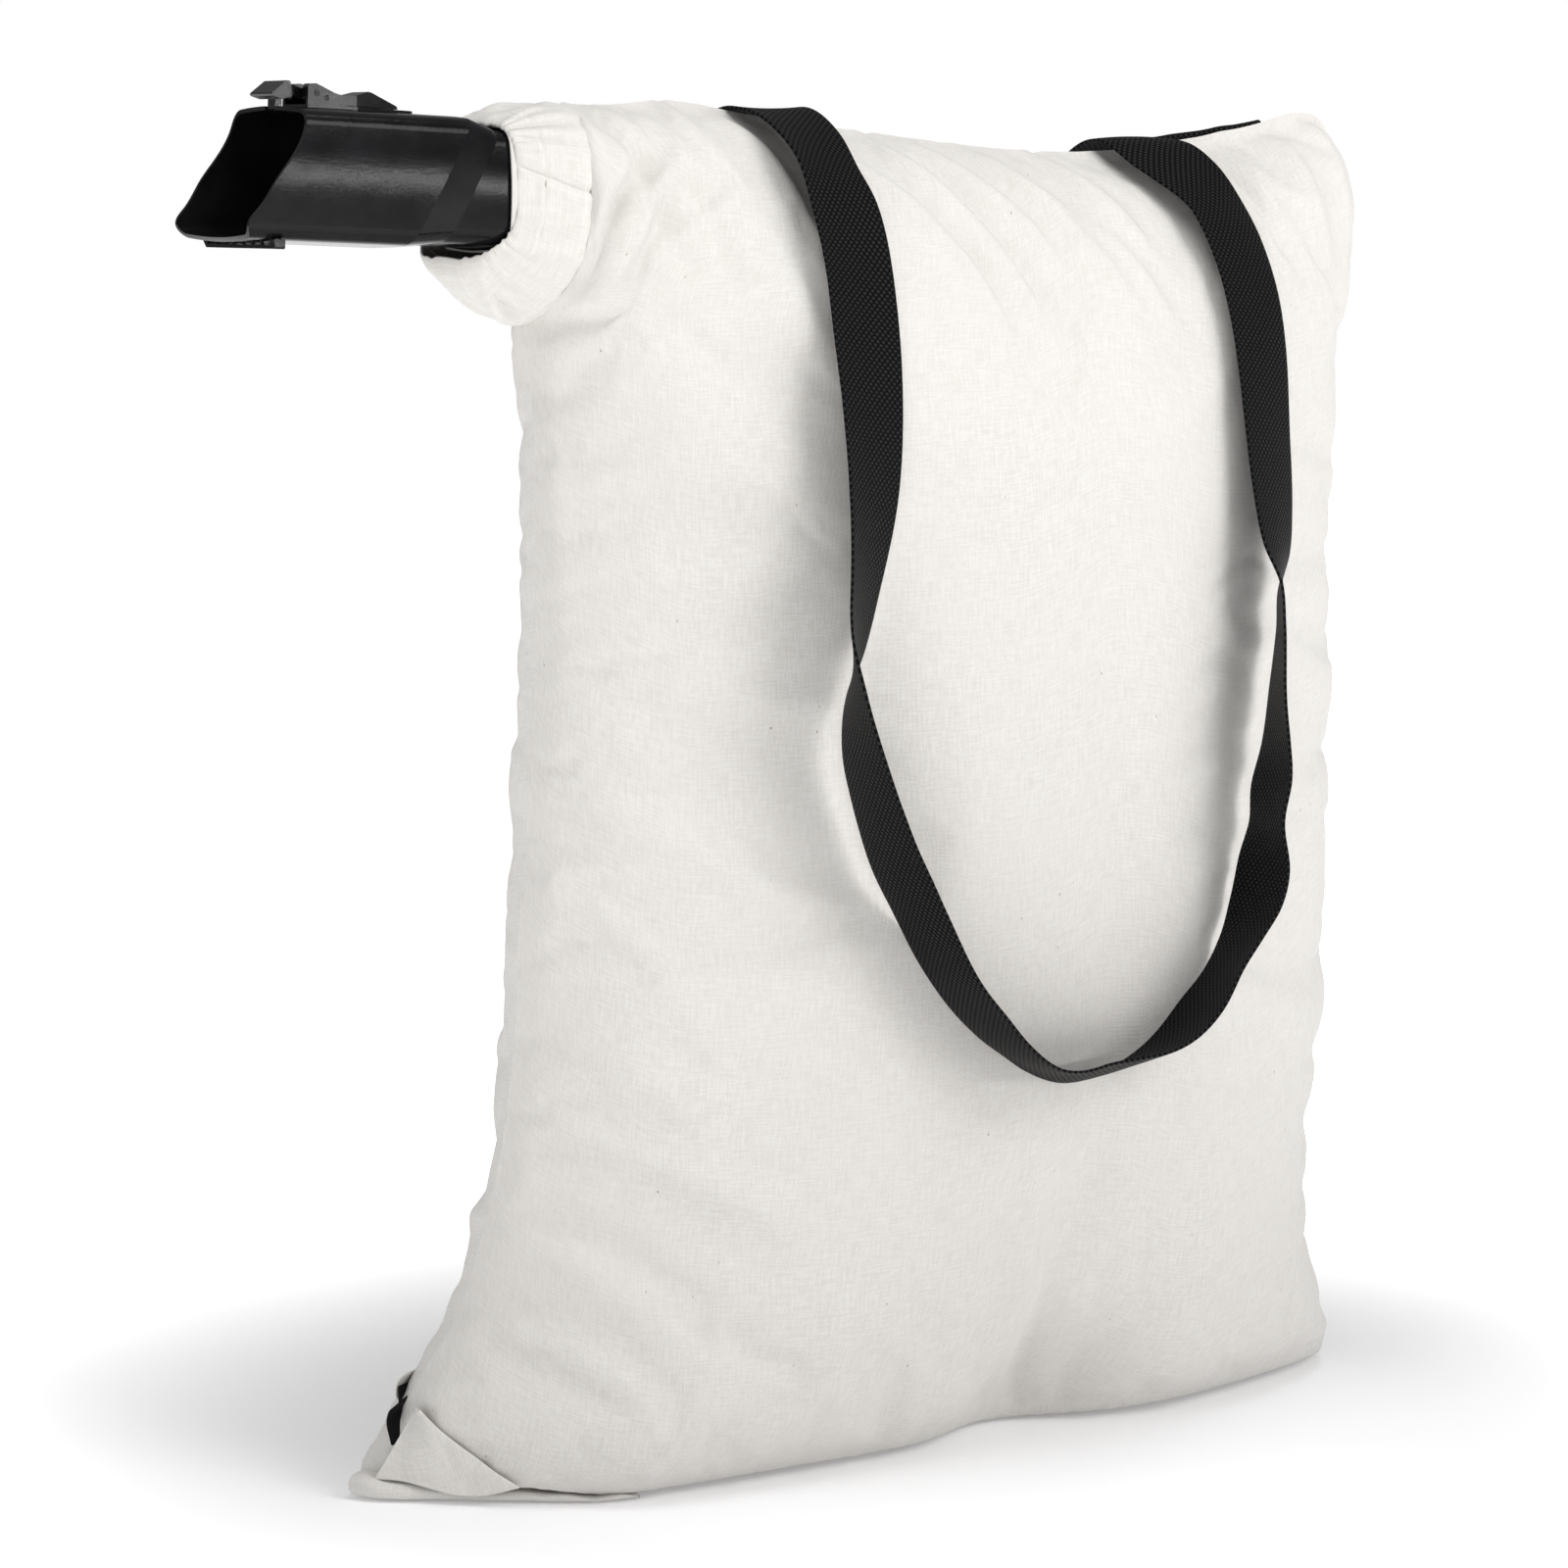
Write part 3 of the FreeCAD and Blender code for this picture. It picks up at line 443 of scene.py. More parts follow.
def filled_shape(s, t, side):
    """Width: the side seams' x at the point's height, and s between them. Depth: the profile's, times a round
    plan that is nothing at the seams. Height: the profile's in the middle and a plain rise at the seams."""
    middle = 1 - np.abs(s) ** 7
    rise = SIDE_RISE(t) * (1 - middle) + PROFILE_RISE(t) * middle
    left, right = LEFT(rise), RIGHT(rise)
    x = (left + right) / 2 + s * (right - left) / 2
    near_floor = 1 - ease(rise, 0.0, 0.13)
    plan = np.sqrt(np.clip(1 - np.abs(s) ** (PLAN + 2.2 * near_floor), 0, 1))
    x = x + 1.3 * np.sin(rise * 31 + 2 * np.sin(rise * 13)) * np.abs(s) ** 12 * ease(rise, 0.02, 0.1)
    ridge = HEIGHT + (RIDGE(s) - HEIGHT) * ease(rise, 0.1, 1.0)
    z = rise * ridge
    lobes = 1 - near_floor * (0.55 * bump(x, 42, 50) + 0.12 * bump(x, 262, 60) - 0.06 * bump(x, 150, 45))
    depth = PROFILE_DEPTH(t) * plan * (lobes if side < 0 else 1)
    # the sleeve's mouth holds the left edge open as a ring
    near_ring = np.exp(-((s + 1) / 0.15) ** 2)
    depth = depth + neck_depth(z) * near_ring * (1 - 0.75 * plan)
    y = side * depth + SEAM_BACK(rise) * np.clip(1 - (s + 1) / 0.35, 0, 1) ** 1.3
    # the corner rests on its own folded hem
    z = np.maximum(z, 10 * (1 - ease(x, -300, -215)))
    if side > 0:
        # the zip's tapes are sewn on straight, so the cloth comes out to them
        along_zip = ease(x, -326, -300) * (1 - ease(x, 180, 230)) * (1 - ease(np.abs(z - ZIP_Z), 15, 48))
        y = y + (ZIP_LINE(x) - 0.8 - y) * along_zip
    return np.stack([x, y, z], -1) * MM


# %% [markdown]
# Folds that the hand or the filling leaves are added as soft ridges: each runs from one point to another on
# the panel and stands a few millimetres proud, with a valley beside it. They are placed where such a
# bag creases: from the cuff towards the strap, under the ridge where the strap pulls, along the side seam,
# and in the slack bottom corner.

# %% Folds one by one
def fold(x, z, start, end, wide, high, fade=0.25):
    """A ridge along the line from start to end in (x, z), in mm: across it, a hill minus half of a wider
    hill, and along it a smooth rise and fall."""
    a, b = np.array(start, float), np.array(end, float)
    along = b - a
    length = np.hypot(*along)
    along /= length
    p = ((x - a[0]) * along[0] + (z - a[1]) * along[1]) / length
    q = (x - a[0]) * -along[1] + (z - a[1]) * along[0]
    bow = 6 * np.sin(np.clip(p, 0, 1) * math.pi)
    reach = ease(p, -fade, fade) * (1 - ease(p, 1 - fade, 1 + fade))
    return high * reach * (bump(q - bow, 0, wide) - 0.55 * bump(q - bow, wide * 1.3, wide * 1.4))


FRONT_FOLDS = [
    ((-268, 664), (-220, 742), 6, -8.0), ((-252, 668), (-192, 742), 8, 4.5), ((-246, 656),
    (-165, 722), 8, 4.5),
    ((-240, 650), (-150, 690), 9, 3.5), ((-250, 772), (-222, 705), 8, 5.0), ((-228, 778),
    (-190, 700), 9, 5.0),
    ((-206, 776), (-148, 655), 10, 5.0), ((-180, 775), (-122, 610), 9, 4.0), ((-215, 690),
    (-140, 560), 10, 3.0),
    ((-150, 772), (-118, 712), 6, 2.5), ((-70, 745), (-12, 672), 5, 6.0), ((-35, 750), (28, 655), 5, 6.5),
    ((0, 748), (48, 690), 5, 5.0), ((30, 750), (92, 668), 6, 6.0), ((80, 748), (118, 695), 5, 4.5),
    ((-48, 715), (2, 640), 5, 4.0), ((58, 730), (125, 650), 6, 4.5),
    ((190, 750), (215, 690), 7, 3.5), ((235, 768), (210, 650), 8, 3.5), ((265, 770), (262, 640), 9, 3.5),
    ((298, 765), (290, 600), 9, 3.5), ((250, 690), (280, 560), 10, 3.0),
    ((-262, 395), (-150, 330), 14, 3.5), ((-255, 340), (-185, 230), 12, 3.0), ((-235, 255),
    (-170, 150), 12, 3.0),
    ((-275, 215), (-190, 175), 11, 3.0), ((-280, 150), (-215, 95), 11, 3.5), ((-295, 100),
    (-230, 60), 10, 3.5),
    ((-150, 120), (-60, 65), 13, 2.5), ((42, 30), (34, 120), 13, -4.0), ((110, 60), (200, 95), 13, 2.5),
    ((230, 60), (285, 110), 11, 3.0), ((295, 250), (250, 180), 13, 2.5), ((300, 470), (262, 400), 13, 2.5),
    ((-140, 560), (-150, 420), 14, 2.5), ((20, 560), (60, 430), 18, 1.6), ((-60, 250), (40, 160), 20, 2.0),
]
BACK_FOLDS = [
    ((-238, 690), (-150, 590), 9, 6.0), ((-235, 725), (-130, 650), 9, 5.5), ((-215, 755),
    (-130, 730), 7, 4.5),
    ((-175, 765), (-120, 650), 7, 4.0), ((-70, 750), (-55, 640), 7, 4.0), ((-20, 750), (-5, 660), 7, 3.5),
    ((60, 748), (40, 650), 7, 4.0), ((115, 740), (100, 640), 7, 3.5), ((200, 750), (180, 650), 8, 4.0),
    ((260, 765), (250, 620), 9, 4.0), ((298, 765), (296, 620), 9, 3.5),
    ((-255, 420), (-160, 330), 13, 3.5), ((-270, 260), (-190, 190), 12, 3.5), ((-300, 160),
    (-220, 120), 11, 3.5),
    ((-120, 140), (-60, 95), 10, 2.5), ((20, 135), (70, 95), 10, 2.5), ((150, 140), (190, 90), 10, 2.5),
    ((300, 240), (240, 150), 13, 3.0), ((300, 450), (240, 380), 14, 3.0), ((-60, 460), (10, 350), 18, 2.0),
]


def add_folds(points, folds, side):
    x, z = points[..., 0] / MM, points[..., 2] / MM
    lift = sum(fold(x, z, *f) for f in folds)
    rng = np.random.default_rng(5 if side < 0 else 9)
    # fine puckers that the stitching draws into the side seams and the ridge
    for low, far in ((-1, 26.0), (1, 26.0)):
        seam = points[:, 0 if low < 0 else -1, 0][:, None] / MM
        phase = np.cumsum(rng.uniform(0.25, 0.75, points.shape[0]))[:, None]
        lift = lift + 1.1 * np.sin(phase + z * 0.01) * np.exp(-np.abs(x - seam) / far)
    gather = np.cumsum(rng.uniform(0.3, 0.8, points.shape[1]))[None, :]
    top = points[-1, :, 2][None, :] / MM
    lift = lift + 1.6 * np.sin(gather) * np.exp(-np.abs(top - z) / 34.0)
    free = ease(z, 4, 40)
    du, dv = np.gradient(points, axis=1), np.gradient(points, axis=0)
    normal = np.cross(du, dv) * (1 if side < 0 else -1)
    normal = normal / (np.linalg.norm(normal, axis=2, keepdims=True) + 1e-12)
    edge = 1 - ease(np.abs(np.linspace(-1, 1, points.shape[1]))[None, :], 0.97, 1.0)
    top_edge = 1 - ease(np.linspace(0, 1, points.shape[0])[:, None], 0.985, 1.0)
    return points + normal * (lift * free * edge * top_edge)[..., None] * MM


# %% Both panels
ROWS, COLUMNS = 171, 141
turn = np.linspace(-math.pi / 2, math.pi / 2, COLUMNS)
S = (0.55 * np.sin(turn) + 0.45 * turn / (math.pi / 2))[None, :]
T = np.linspace(0, 1, ROWS)[:, None]
grid_s, grid_t = S + 0 * T, T + 0 * S


def panel(side, folds):
    return add_folds(filled_shape(grid_s, grid_t, side), folds, side)


front, back = panel(-1, FRONT_FOLDS), panel(1, BACK_FOLDS)
print("panel grid", front.shape, "width of cloth", cloth_lengths(front)[..., 0].max() * 2)

# %% [markdown]
# ## Cloth simulation
# Both panels are one closed mesh for the solver, sewn along the sides, the bottom and the ridge, and open
# at the sleeve. The cloth is told that it is a few percent larger than it lies, and pressure keeps it off
# the filling, so the surplus has to buckle. Pins hold the sleeve's mouth, the seams and what rests on the
# floor. Only the small folds of the result are kept: what the solver did to the large shape is taken out
# again by a blur.

# %% Simulate
SLACK = 0.035
PRESSURE = 4.0
FRAMES = 20
CAP = 0.0085


def simulate(front, back):
    """Positions of both panels after the cloth solver, as two arrays like those it was given."""
    rows, columns = front.shape[:2]
    number = np.arange(rows * columns).reshape(rows, columns)
    other = number + rows * columns
    z = front[:, 0, 2]
    sewn = np.zeros((rows, columns), bool)
    sewn[:, -1] = sewn[0, :] = sewn[-1, :] = True
    sewn[:, 0] = (z < NECK_LOW * MM) | (z > NECK_HIGH * MM)
    other = np.where(sewn, number, other)
    points = np.concatenate([front.reshape(-1, 3), back.reshape(-1, 3)])
    faces = np.concatenate([number.ravel()[grid_faces(rows, columns)][:, ::-1],
                            other.ravel()[grid_faces(rows, columns)]])
    used, renumbered = np.unique(faces, return_inverse=True)
    thing = make_mesh("sim_bag", points[used], renumbered.reshape(-1, 4))
    held = thing.vertex_groups.new(name="held")
    slack = thing.vertex_groups.new(name="slack")
    where = points[used]
    weight = 0.06 + 0.9 * (1 - ease(where[:, 2], 0.002, 0.02))
    seam = np.concatenate([sewn.ravel(), sewn.ravel()])[used]
    weight = np.where(seam, 0.9, np.clip(weight, 0, 1))
    weight = np.where((where[:, 0] < -0.24) & (where[:, 2] > 0.655), 1.0, weight)
    for level in np.unique(np.round(weight, 2)):
        held.add(np.flatnonzero(np.round(weight, 2) == level).tolist(), float(level), "REPLACE")
    slack.add(list(range(len(used))), 1.0, "REPLACE")
    cloth = thing.modifiers.new("Cloth", "CLOTH")
    settings = cloth.settings
    settings.quality = 4
    settings.mass = 0.15
    settings.tension_stiffness = settings.compression_stiffness = 25
    settings.shear_stiffness = 8
    settings.bending_stiffness = 0.35
    settings.use_pressure = True
    settings.uniform_pressure_force = PRESSURE
    settings.vertex_group_mass = "held"
    settings.pin_stiffness = 1.0
    settings.shrink_min = -SLACK
    settings.effector_weights.gravity = 0.0
    cloth.collision_settings.use_collision = False
    cloth.point_cache.frame_start, cloth.point_cache.frame_end = 1, FRAMES
    scene = bpy.context.scene
    for number_of_frame in range(1, FRAMES + 1):
        scene.frame_set(number_of_frame)
    result = thing.evaluated_get(bpy.context.evaluated_depsgraph_get()).to_mesh()
    moved = np.zeros(len(used) * 3, np.float32)
    result.vertices.foreach_get("co", moved)
    scene.frame_set(1)
    bpy.data.objects.remove(thing)
    everything = points.copy()
    everything[used] = moved.reshape(-1, 3)
    new_front = everything[number.ravel()].reshape(rows, columns, 3)
    return new_front, everything[other.ravel()].reshape(rows, columns, 3)


def small_folds(before, after):
    """What the solver changed, without its large swells, and no more than the cap."""
    change = after - before
    change = change - blur(change, 11, 9)
    size = np.linalg.norm(change, axis=2, keepdims=True)
    return before + change * (CAP * np.tanh(size / CAP) / np.maximum(size, 1e-9))


sim_front, sim_back = simulate(front, back)
print("solver moved the cloth by up to", np.abs(sim_front - front).max())
front, back = small_folds(front, sim_front), small_folds(back, sim_back)
for edge in (np.s_[0, :], np.s_[-1, :], np.s_[:, -1]):
    front[edge] = back[edge] = (front[edge] + back[edge]) / 2
below_sleeve = front[:, 0, 2] < (NECK_LOW - 3) * MM
front[below_sleeve, 0] = back[below_sleeve, 0] = (front[below_sleeve, 0] + back[below_sleeve, 0]) / 2
for points in (front, back):
    points[..., 2] = np.maximum(points[..., 2], 0.0012)

# %% Panels as pieces
def finish_panel(name, points, side, node):
    uv = cloth_lengths(points)
    thing = make_mesh(name, points, grid_faces(*points.shape[:2], flip=side < 0), uv)
    thing.data.materials.append(CANVAS)
    modifier(thing, "SUBSURF", levels=1, render_levels=1)
    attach(thing, "bag")
    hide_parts(node)
    return thing


finish_panel("front_canvas", front, -1, "front_panel")
finish_panel("back_canvas", back, 1, "back_panel")

# %% [markdown]
# ## Cuff
# The cuff is a band of the same canvas, sewn to the mouth of the bag's sleeve and hemmed round an elastic.
# The elastic grips the tube and the seam is wider, so the band is a short cone that sags below the tube and
# shows soft pleats. It is a grid round the tube: each line along it runs from a place on the rim to a place
# on the seam.

# %% Cuff piece
CUFF_AROUND, CUFF_ALONG = 288, 40
HEM_THICK = 0.0016  # two layers of canvas
angle = np.linspace(0, 2 * math.pi, CUFF_AROUND, endpoint=False)[None, :]
along = np.linspace(0, 1, CUFF_ALONG)[:, None]
up, out = np.sin(angle), np.cos(angle)


def rounded(value, power):
    """A sine or cosine to the power 2 / power, with its sign kept, which squares a circle off."""
    return np.sign(value) * np.abs(value) ** (2 / power)


under = np.clip(-up, 0, 1)
rim_x = -293 - 5 * np.clip(up, 0, 1) - 20 * under ** 1.5 - 6 * np.clip(out, 0, 1)
rim = np.stack([rim_x, 40.0 * rounded(out, 5), 729.8 + 34.6 * rounded(up, 5) - 3 * under ** 2], -1)
seam_z = (NECK_LOW + NECK_HIGH) / 2 + (NECK_HIGH - NECK_LOW) / 2 * rounded(up, 2.6) - 6 * under ** 10
seam = np.stack([LEFT(seam_z / HEIGHT) + 0 * angle, NECK_DEEP * out, seam_z], -1)
spread = along ** (1 - 0.42 * under)
cuff = rim + (seam - rim) * np.stack([along + 0 * angle, spread, spread], -1)
rng = np.random.default_rng(3)
pleat = sum(rng.uniform(0.4, 1.0) * np.sin(angle * k + rng.uniform(0, 6) + along * rng.uniform(-1.2, 1.2))
            for k in (5, 7, 9, 12, 17, 23))
scallop = sum(rng.uniform(0.3, 0.6) * np.sin(angle * k + rng.uniform(0, 6)) for k in (31, 37, 43))
lift = (0.9 * pleat * (0.25 + 0.75 * np.abs(up)) * np.sin(along * math.pi) ** 0.8
        + 0.7 * scallop * np.exp(-along / 0.16) + np.sin(along * math.pi) * (0.9 + 0.2 * under))
# two sharp folds on top, the joining seam at the side, and the hem's ridge
for at, slant, high in ((2.05, 0.35, 2.6), (1.65, 0.5, 2.2), (4.35, -0.5, 3.0), (4.75, -0.3, 2.4)):
    lift = lift + high * bump(angle + slant * along, at, 0.085) * np.sin(along * math.pi) ** 0.6
joint = bump(angle, 3.06, 0.02)
lift = lift - 1.8 * joint + 0.9 * bump(angle, 3.11, 0.025)
lift = lift + 0.5 * bump(along, 0.30, 0.03) - 0.5 * bump(along, 0.36, 0.02)
outward = np.stack([0 * out, rounded(out, 3), rounded(up, 3)], -1)
cuff = cuff + outward * lift[..., None]
tuck = ease(along, 0.9, 1.0)[..., None]
cuff = cuff + tuck * (np.array([9.0, 0, 0]) - outward * 2.4)
rim_roll = np.clip(1 - along / 0.04, 0, 1)[..., None]
cuff = (cuff - outward * rim_roll * 1.2) * MM
cuff_uv = np.stack([angle * 0.047 + 0 * along, along * 0.05 + 0 * angle], -1)
band = bag_cloth("cuff_canvas", cuff, grid_faces(CUFF_ALONG, CUFF_AROUND, round_columns=True), cuff_uv,
                 CANVAS, HEM_THICK, offset=-1.0)
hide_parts("cuff_band")
print("cuff", cuff.reshape(-1, 3).min(0), cuff.reshape(-1, 3).max(0))

# %% [markdown]
# ## Shoulder strap
# The webbing is sewn behind the ridge, comes over it and hangs in a loop that has taken a twist on each
# side, as a strap does when it is set down. It is a flat grid carried along a smooth line: each station has
# a place and the angle between the webbing's face and the bag's.

# %% Strap route
# x, y, z in mm, and the angle in degrees; the same places as the CAD strap, with its two ends behind the
# ridge
STRAP = [(-107, 57, 737, 0), (-107, 40, 754, 0), (-107, 20, 769, 0), (-107, 2, 775.5, 0), (-107, -14, 774, 0),
         (-108, -44, 762, 8), (-107, -64, 743, 16), (-104, -76, 720, 10), (-102, -84, 694, 8),
         (-107, -100, 651, 8), (-112, -113, 609, 14), (-117, -121, 566, 22), (-127, -128, 523, 34),
         (-137, -133, 484, 46), (-142, -138, 456, 66), (-140, -139, 437, 76), (-137, -140, 418, 83),
         (-129, -140, 396, 87), (-122, -141, 375, 90), (-112, -141, 354, 93), (-101, -142, 334, 92),
         (-78, -143, 293, 91), (-60, -143, 273, 92), (-43, -143, 255, 90), (-22, -143, 240, 90),
         (-5, -142, 233, 98),
         (18, -142, 230, 110), (40, -142, 231, 111), (64, -142, 235, 105), (88, -142, 246, 101),
         (104, -142, 262, 100),
         (121, -141, 281, 106), (135, -141, 299, 103), (147, -140, 319, 95), (152, -140, 340, 95),
         (153, -140, 365, 108), (158, -138, 387, 105), (164, -136, 410, 113), (165, -134, 433, 119),
         (170, -132, 478, 126), (172, -128, 500, 129), (173, -123, 523, 147), (175, -118, 545, 154),
         (176, -110, 591, 160), (180, -99, 636, 165), (181, -88, 672, 167), (179, -74, 702, 166),
         (174, -62, 724, 164), (164, -46, 741, 172), (156, -30, 752.5, 180), (155, -14, 760, 180),
         (155, 2, 761.2, 180),
         (155, 20, 754, 180), (155, 40, 739, 180), (155, 57, 721, 180)]
STRAP_STATIONS, STRAP_COLUMNS, WEB_THICK = 560, 15, 0.0016


def along_route(route, count):
    """Evenly spaced places on a smooth line through the stations, with the line's direction and its turn."""
    rough = np.array(route, float)
    steps = np.concatenate([[0], np.cumsum(np.linalg.norm(np.diff(rough[:, :3], axis=0), axis=1))])
    at = np.linspace(0, steps[-1], count)
    x, y, z, turn_of = (smooth_curve(list(zip(steps, rough[:, k])))(at) for k in range(4))
    centre = blur(np.stack([x, y, z], -1)[:, None, :] * MM, 5, 1)[:, 0]
    direction = np.gradient(centre, axis=0)
    return centre, direction / np.linalg.norm(direction, axis=1, keepdims=True), np.radians(turn_of), at * MM


def ribbon(route, count, columns, wide):
    """A flat strap: at each station its width is a direction in the bag's plane, turned about the line."""
    centre, direction, turned, travelled = along_route(route, count)
    over_ridge = np.abs(direction[:, 1]) * np.where(np.arange(count) < count / 2, -1, 1)
    flat = np.stack([-direction[:, 2] - over_ridge, 0 * turned, direction[:, 0]], -1)
    flat = flat / np.linalg.norm(flat, axis=1, keepdims=True)
    other = np.cross(flat, direction)
    width = flat * np.cos(turned)[:, None] + other * np.sin(turned)[:, None]
    width = width / np.linalg.norm(width, axis=1, keepdims=True)
    w = np.linspace(-0.5, 0.5, columns)
    points = centre[:, None, :] + width[:, None, :] * (w * wide)[None, :, None]
    normal = np.cross(direction, width)
    uv = np.stack([np.broadcast_to(w * wide, points.shape[:2]),
                   np.broadcast_to(travelled[:, None], points.shape[:2])], -1)
    return points, uv, normal


strap_points, strap_uv, strap_normal = ribbon(STRAP, STRAP_STATIONS, STRAP_COLUMNS, WEB_WIDE)
cup = (np.linspace(-1, 1, STRAP_COLUMNS) ** 2)[None, :, None]
strap_points = strap_points + strap_normal[:, None, :] * cup * 0.0012
strap = make_mesh("strap_webbing", strap_points, grid_faces(STRAP_STATIONS, STRAP_COLUMNS), strap_uv)
strap.data.materials.append(WEBBING)
modifier(strap, "SOLIDIFY", thickness=WEB_THICK, offset=0.0)
modifier(strap, "BEVEL", width=0.0005, segments=2, limit_method="ANGLE")
hinge = next(j for j in frame["joints"] if j["name"] == "strap_swing")["pos_m"]
hinge[1] + 0.004
hinge[2] + 0.003
hinge[1] - 0.06
hinge[2] - 0.03
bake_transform(strap)
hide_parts("shoulder_strap", "strap_end_left", "strap_end_right")
print("strap length", strap_uv[-1, 0, 1])

# %% Webbing patch behind the ridge
# The strap's spare end is turned along the ridge and sewn down; its edge shows above the canvas.
columns = np.flatnonzero((back[-1, :, 0] > 0.158) & (back[-1, :, 0] < 0.262))
patch = back[-1:-26:-1, columns]
patch = patch[cloth_lengths(patch)[:, 0, 1] < WEB_WIDE]
run = np.linspace(0, 1, len(columns))
patch = patch + np.array([0, 0.0016, 0.0022])
patch[0, :, 2] += 0.0035 * (1 - run)
patch[0, :, 1] -= 0.003 * (1 - run)
bag_cloth("strap_tail", patch, grid_faces(*patch.shape[:2], flip=True), cloth_lengths(patch)[..., ::-1],
          WEBBING, WEB_THICK)
print("strap tail", patch.shape)

# %% [markdown]
# ## Folded hem on the floor
# At the corner below the tube the hem is turned under twice and sticks out from under the bag. It is a
# flattened roll along its front edge on the floor: a half round in front, and two layers that run back
# under the bag. The roll is open at the corner, so one looks a little way into it.

# %% Hem roll
# the roll's front edge on the floor: x and y in mm
HEM = np.array([(-356, 49), (-350, 35), (-338, 24), (-323, 14), (-288, -12), (-262, -31), (-240, -43),
                (-222, -46)], float)
steps = np.concatenate([[0], np.cumsum(np.hypot(*np.diff(HEM, axis=0).T))])
at = np.linspace(0, steps[-1], 90)
hem_x, hem_y = (smooth_curve(list(zip(steps, HEM[:, k])))(at) for k in (0, 1))
heading = np.stack([np.gradient(hem_x), np.gradient(hem_y)], -1)
heading /= np.linalg.norm(heading, axis=1, keepdims=True)
inward = np.stack([-heading[:, 1], heading[:, 0]], -1)
inward = blur(inward[:, None], 6, 1)[:, 0]
thick = 12.5 - 11.6 * (at / at[-1]) ** 0.8 + 0.5 * np.sin(at * 0.13)
turn_round = np.linspace(-math.pi / 2, math.pi / 2, 11)
deep = np.concatenate([[34, 22, 12], np.zeros(11), [12, 22, 34]])
bulge = np.concatenate([[0] * 3, -np.cos(turn_round), [0] * 3])
level = np.concatenate([[-1] * 3, np.sin(turn_round), [1] * 3])
inside = deep[None, :] + (bulge[None, :] + 1) * (thick / 2)[:, None]
wave = 0.6 * np.sin(at * 0.21)[:, None] * (level[None, :] > 0.5)
roll = np.stack([hem_x[:, None] + inward[:, :1] * inside, hem_y[:, None] + inward[:, 1:] * inside,
                 (level[None, :] + 1) * (thick / 2)[:, None] + 1.2 + wave], -1) * MM
hem = bag_cloth("hem_roll", roll, grid_faces(*roll.shape[:2]), cloth_lengths(roll), CANVAS,
                HEM_THICK, offset=-1.0)
inner = roll[:40, 3:14].copy()
middle_z = (thick[:40, None] / 2 + 1.2) * MM
inner[..., 2] = middle_z + (inner[..., 2] - middle_z) * 0.45
inner[..., :2] += (inward[:40, None] * 3.5 * MM)
lip = bag_cloth("hem_fold_inner", inner, grid_faces(*inner.shape[:2]), cloth_lengths(inner), CANVAS,
                0.0014, offset=-1.0)

# %% Corner flap
# The slack corner is folded over: a triangle of cloth that lies on the front and stands off at its lower
# edge.
APEX, FOOT, FAR = np.array([-313, 42, 52.0]), np.array([-343, 42, 11.5]), np.array([-279, -12, 9.5])
TOWARD = np.array([-0.57, -0.82, 0])  # the way the corner faces
SIDEWAYS = np.array([0.82, -0.57, 0])
down = np.linspace(0.02, 1, 40)[:, None, None]
across = np.linspace(0, 1, 44)[None, :, None]
flap = APEX + down * (FOOT + across * (FAR - FOOT) - APEX)
flap[..., 2] += (2.5 * np.sin(across * 7.0) * down ** 3 - 3 * np.sin(across * math.pi) * down)[..., 0]
below = front.reshape(-1, 3) / MM
below = below[(below[:, 2] < 90) & (below[:, 0] < -190)]
gap = np.hypot((flap @ SIDEWAYS)[..., None] - below @ SIDEWAYS, flap[..., 2][..., None] - below[:, 2])
under_it = np.where(gap < 7, (below @ TOWARD)[None, None, :], -1e9).max(-1)
own = flap @ TOWARD
under_it = blur(np.where(under_it < -1e8, own, under_it), 2.5, 2.5)
stands_off = 2.2 + 4.5 * down[..., 0] ** 2 * (1 - across[..., 0] ** 2) - 1.2 * across[..., 0] ** 6
flap = (flap + (under_it + stands_off - own)[..., None] * TOWARD) * MM
flap_piece = bag_cloth("corner_flap", flap, grid_faces(*flap.shape[:2], flip=True), cloth_lengths(flap),
                       CANVAS, HEM_THICK)
print("flap", flap.reshape(-1, 3).min(0), flap.reshape(-1, 3).max(0))

# %% Zip tape's loose end
reach = np.linspace(0, 1, 10)[:, None]
high = np.linspace(-0.5, 0.5, 8)[None, :]
tab = np.stack([-312 - 24 * reach + 0 * high, 49 - 12 * reach + 2.5 * np.sin(high * 5 + reach),
                44 - 4 * reach + high * (23 - 3 * reach)], -1) * MM
bag_cloth("zip_tape_end", tab, grid_faces(10, 8), cloth_lengths(tab), TAPE, 0.0018)

# %% [markdown]
# ## Zip and stitching
# The zip's tapes come from CAD. Its coil is drawn as rows of small teeth that interlock at half a pitch,
# and the canvas is turned over the tapes' outer edges in two welts. A row of stitches is one short rounded
# bar, copied along a line and a little below the cloth at both ends, which is what a lock stitch shows.

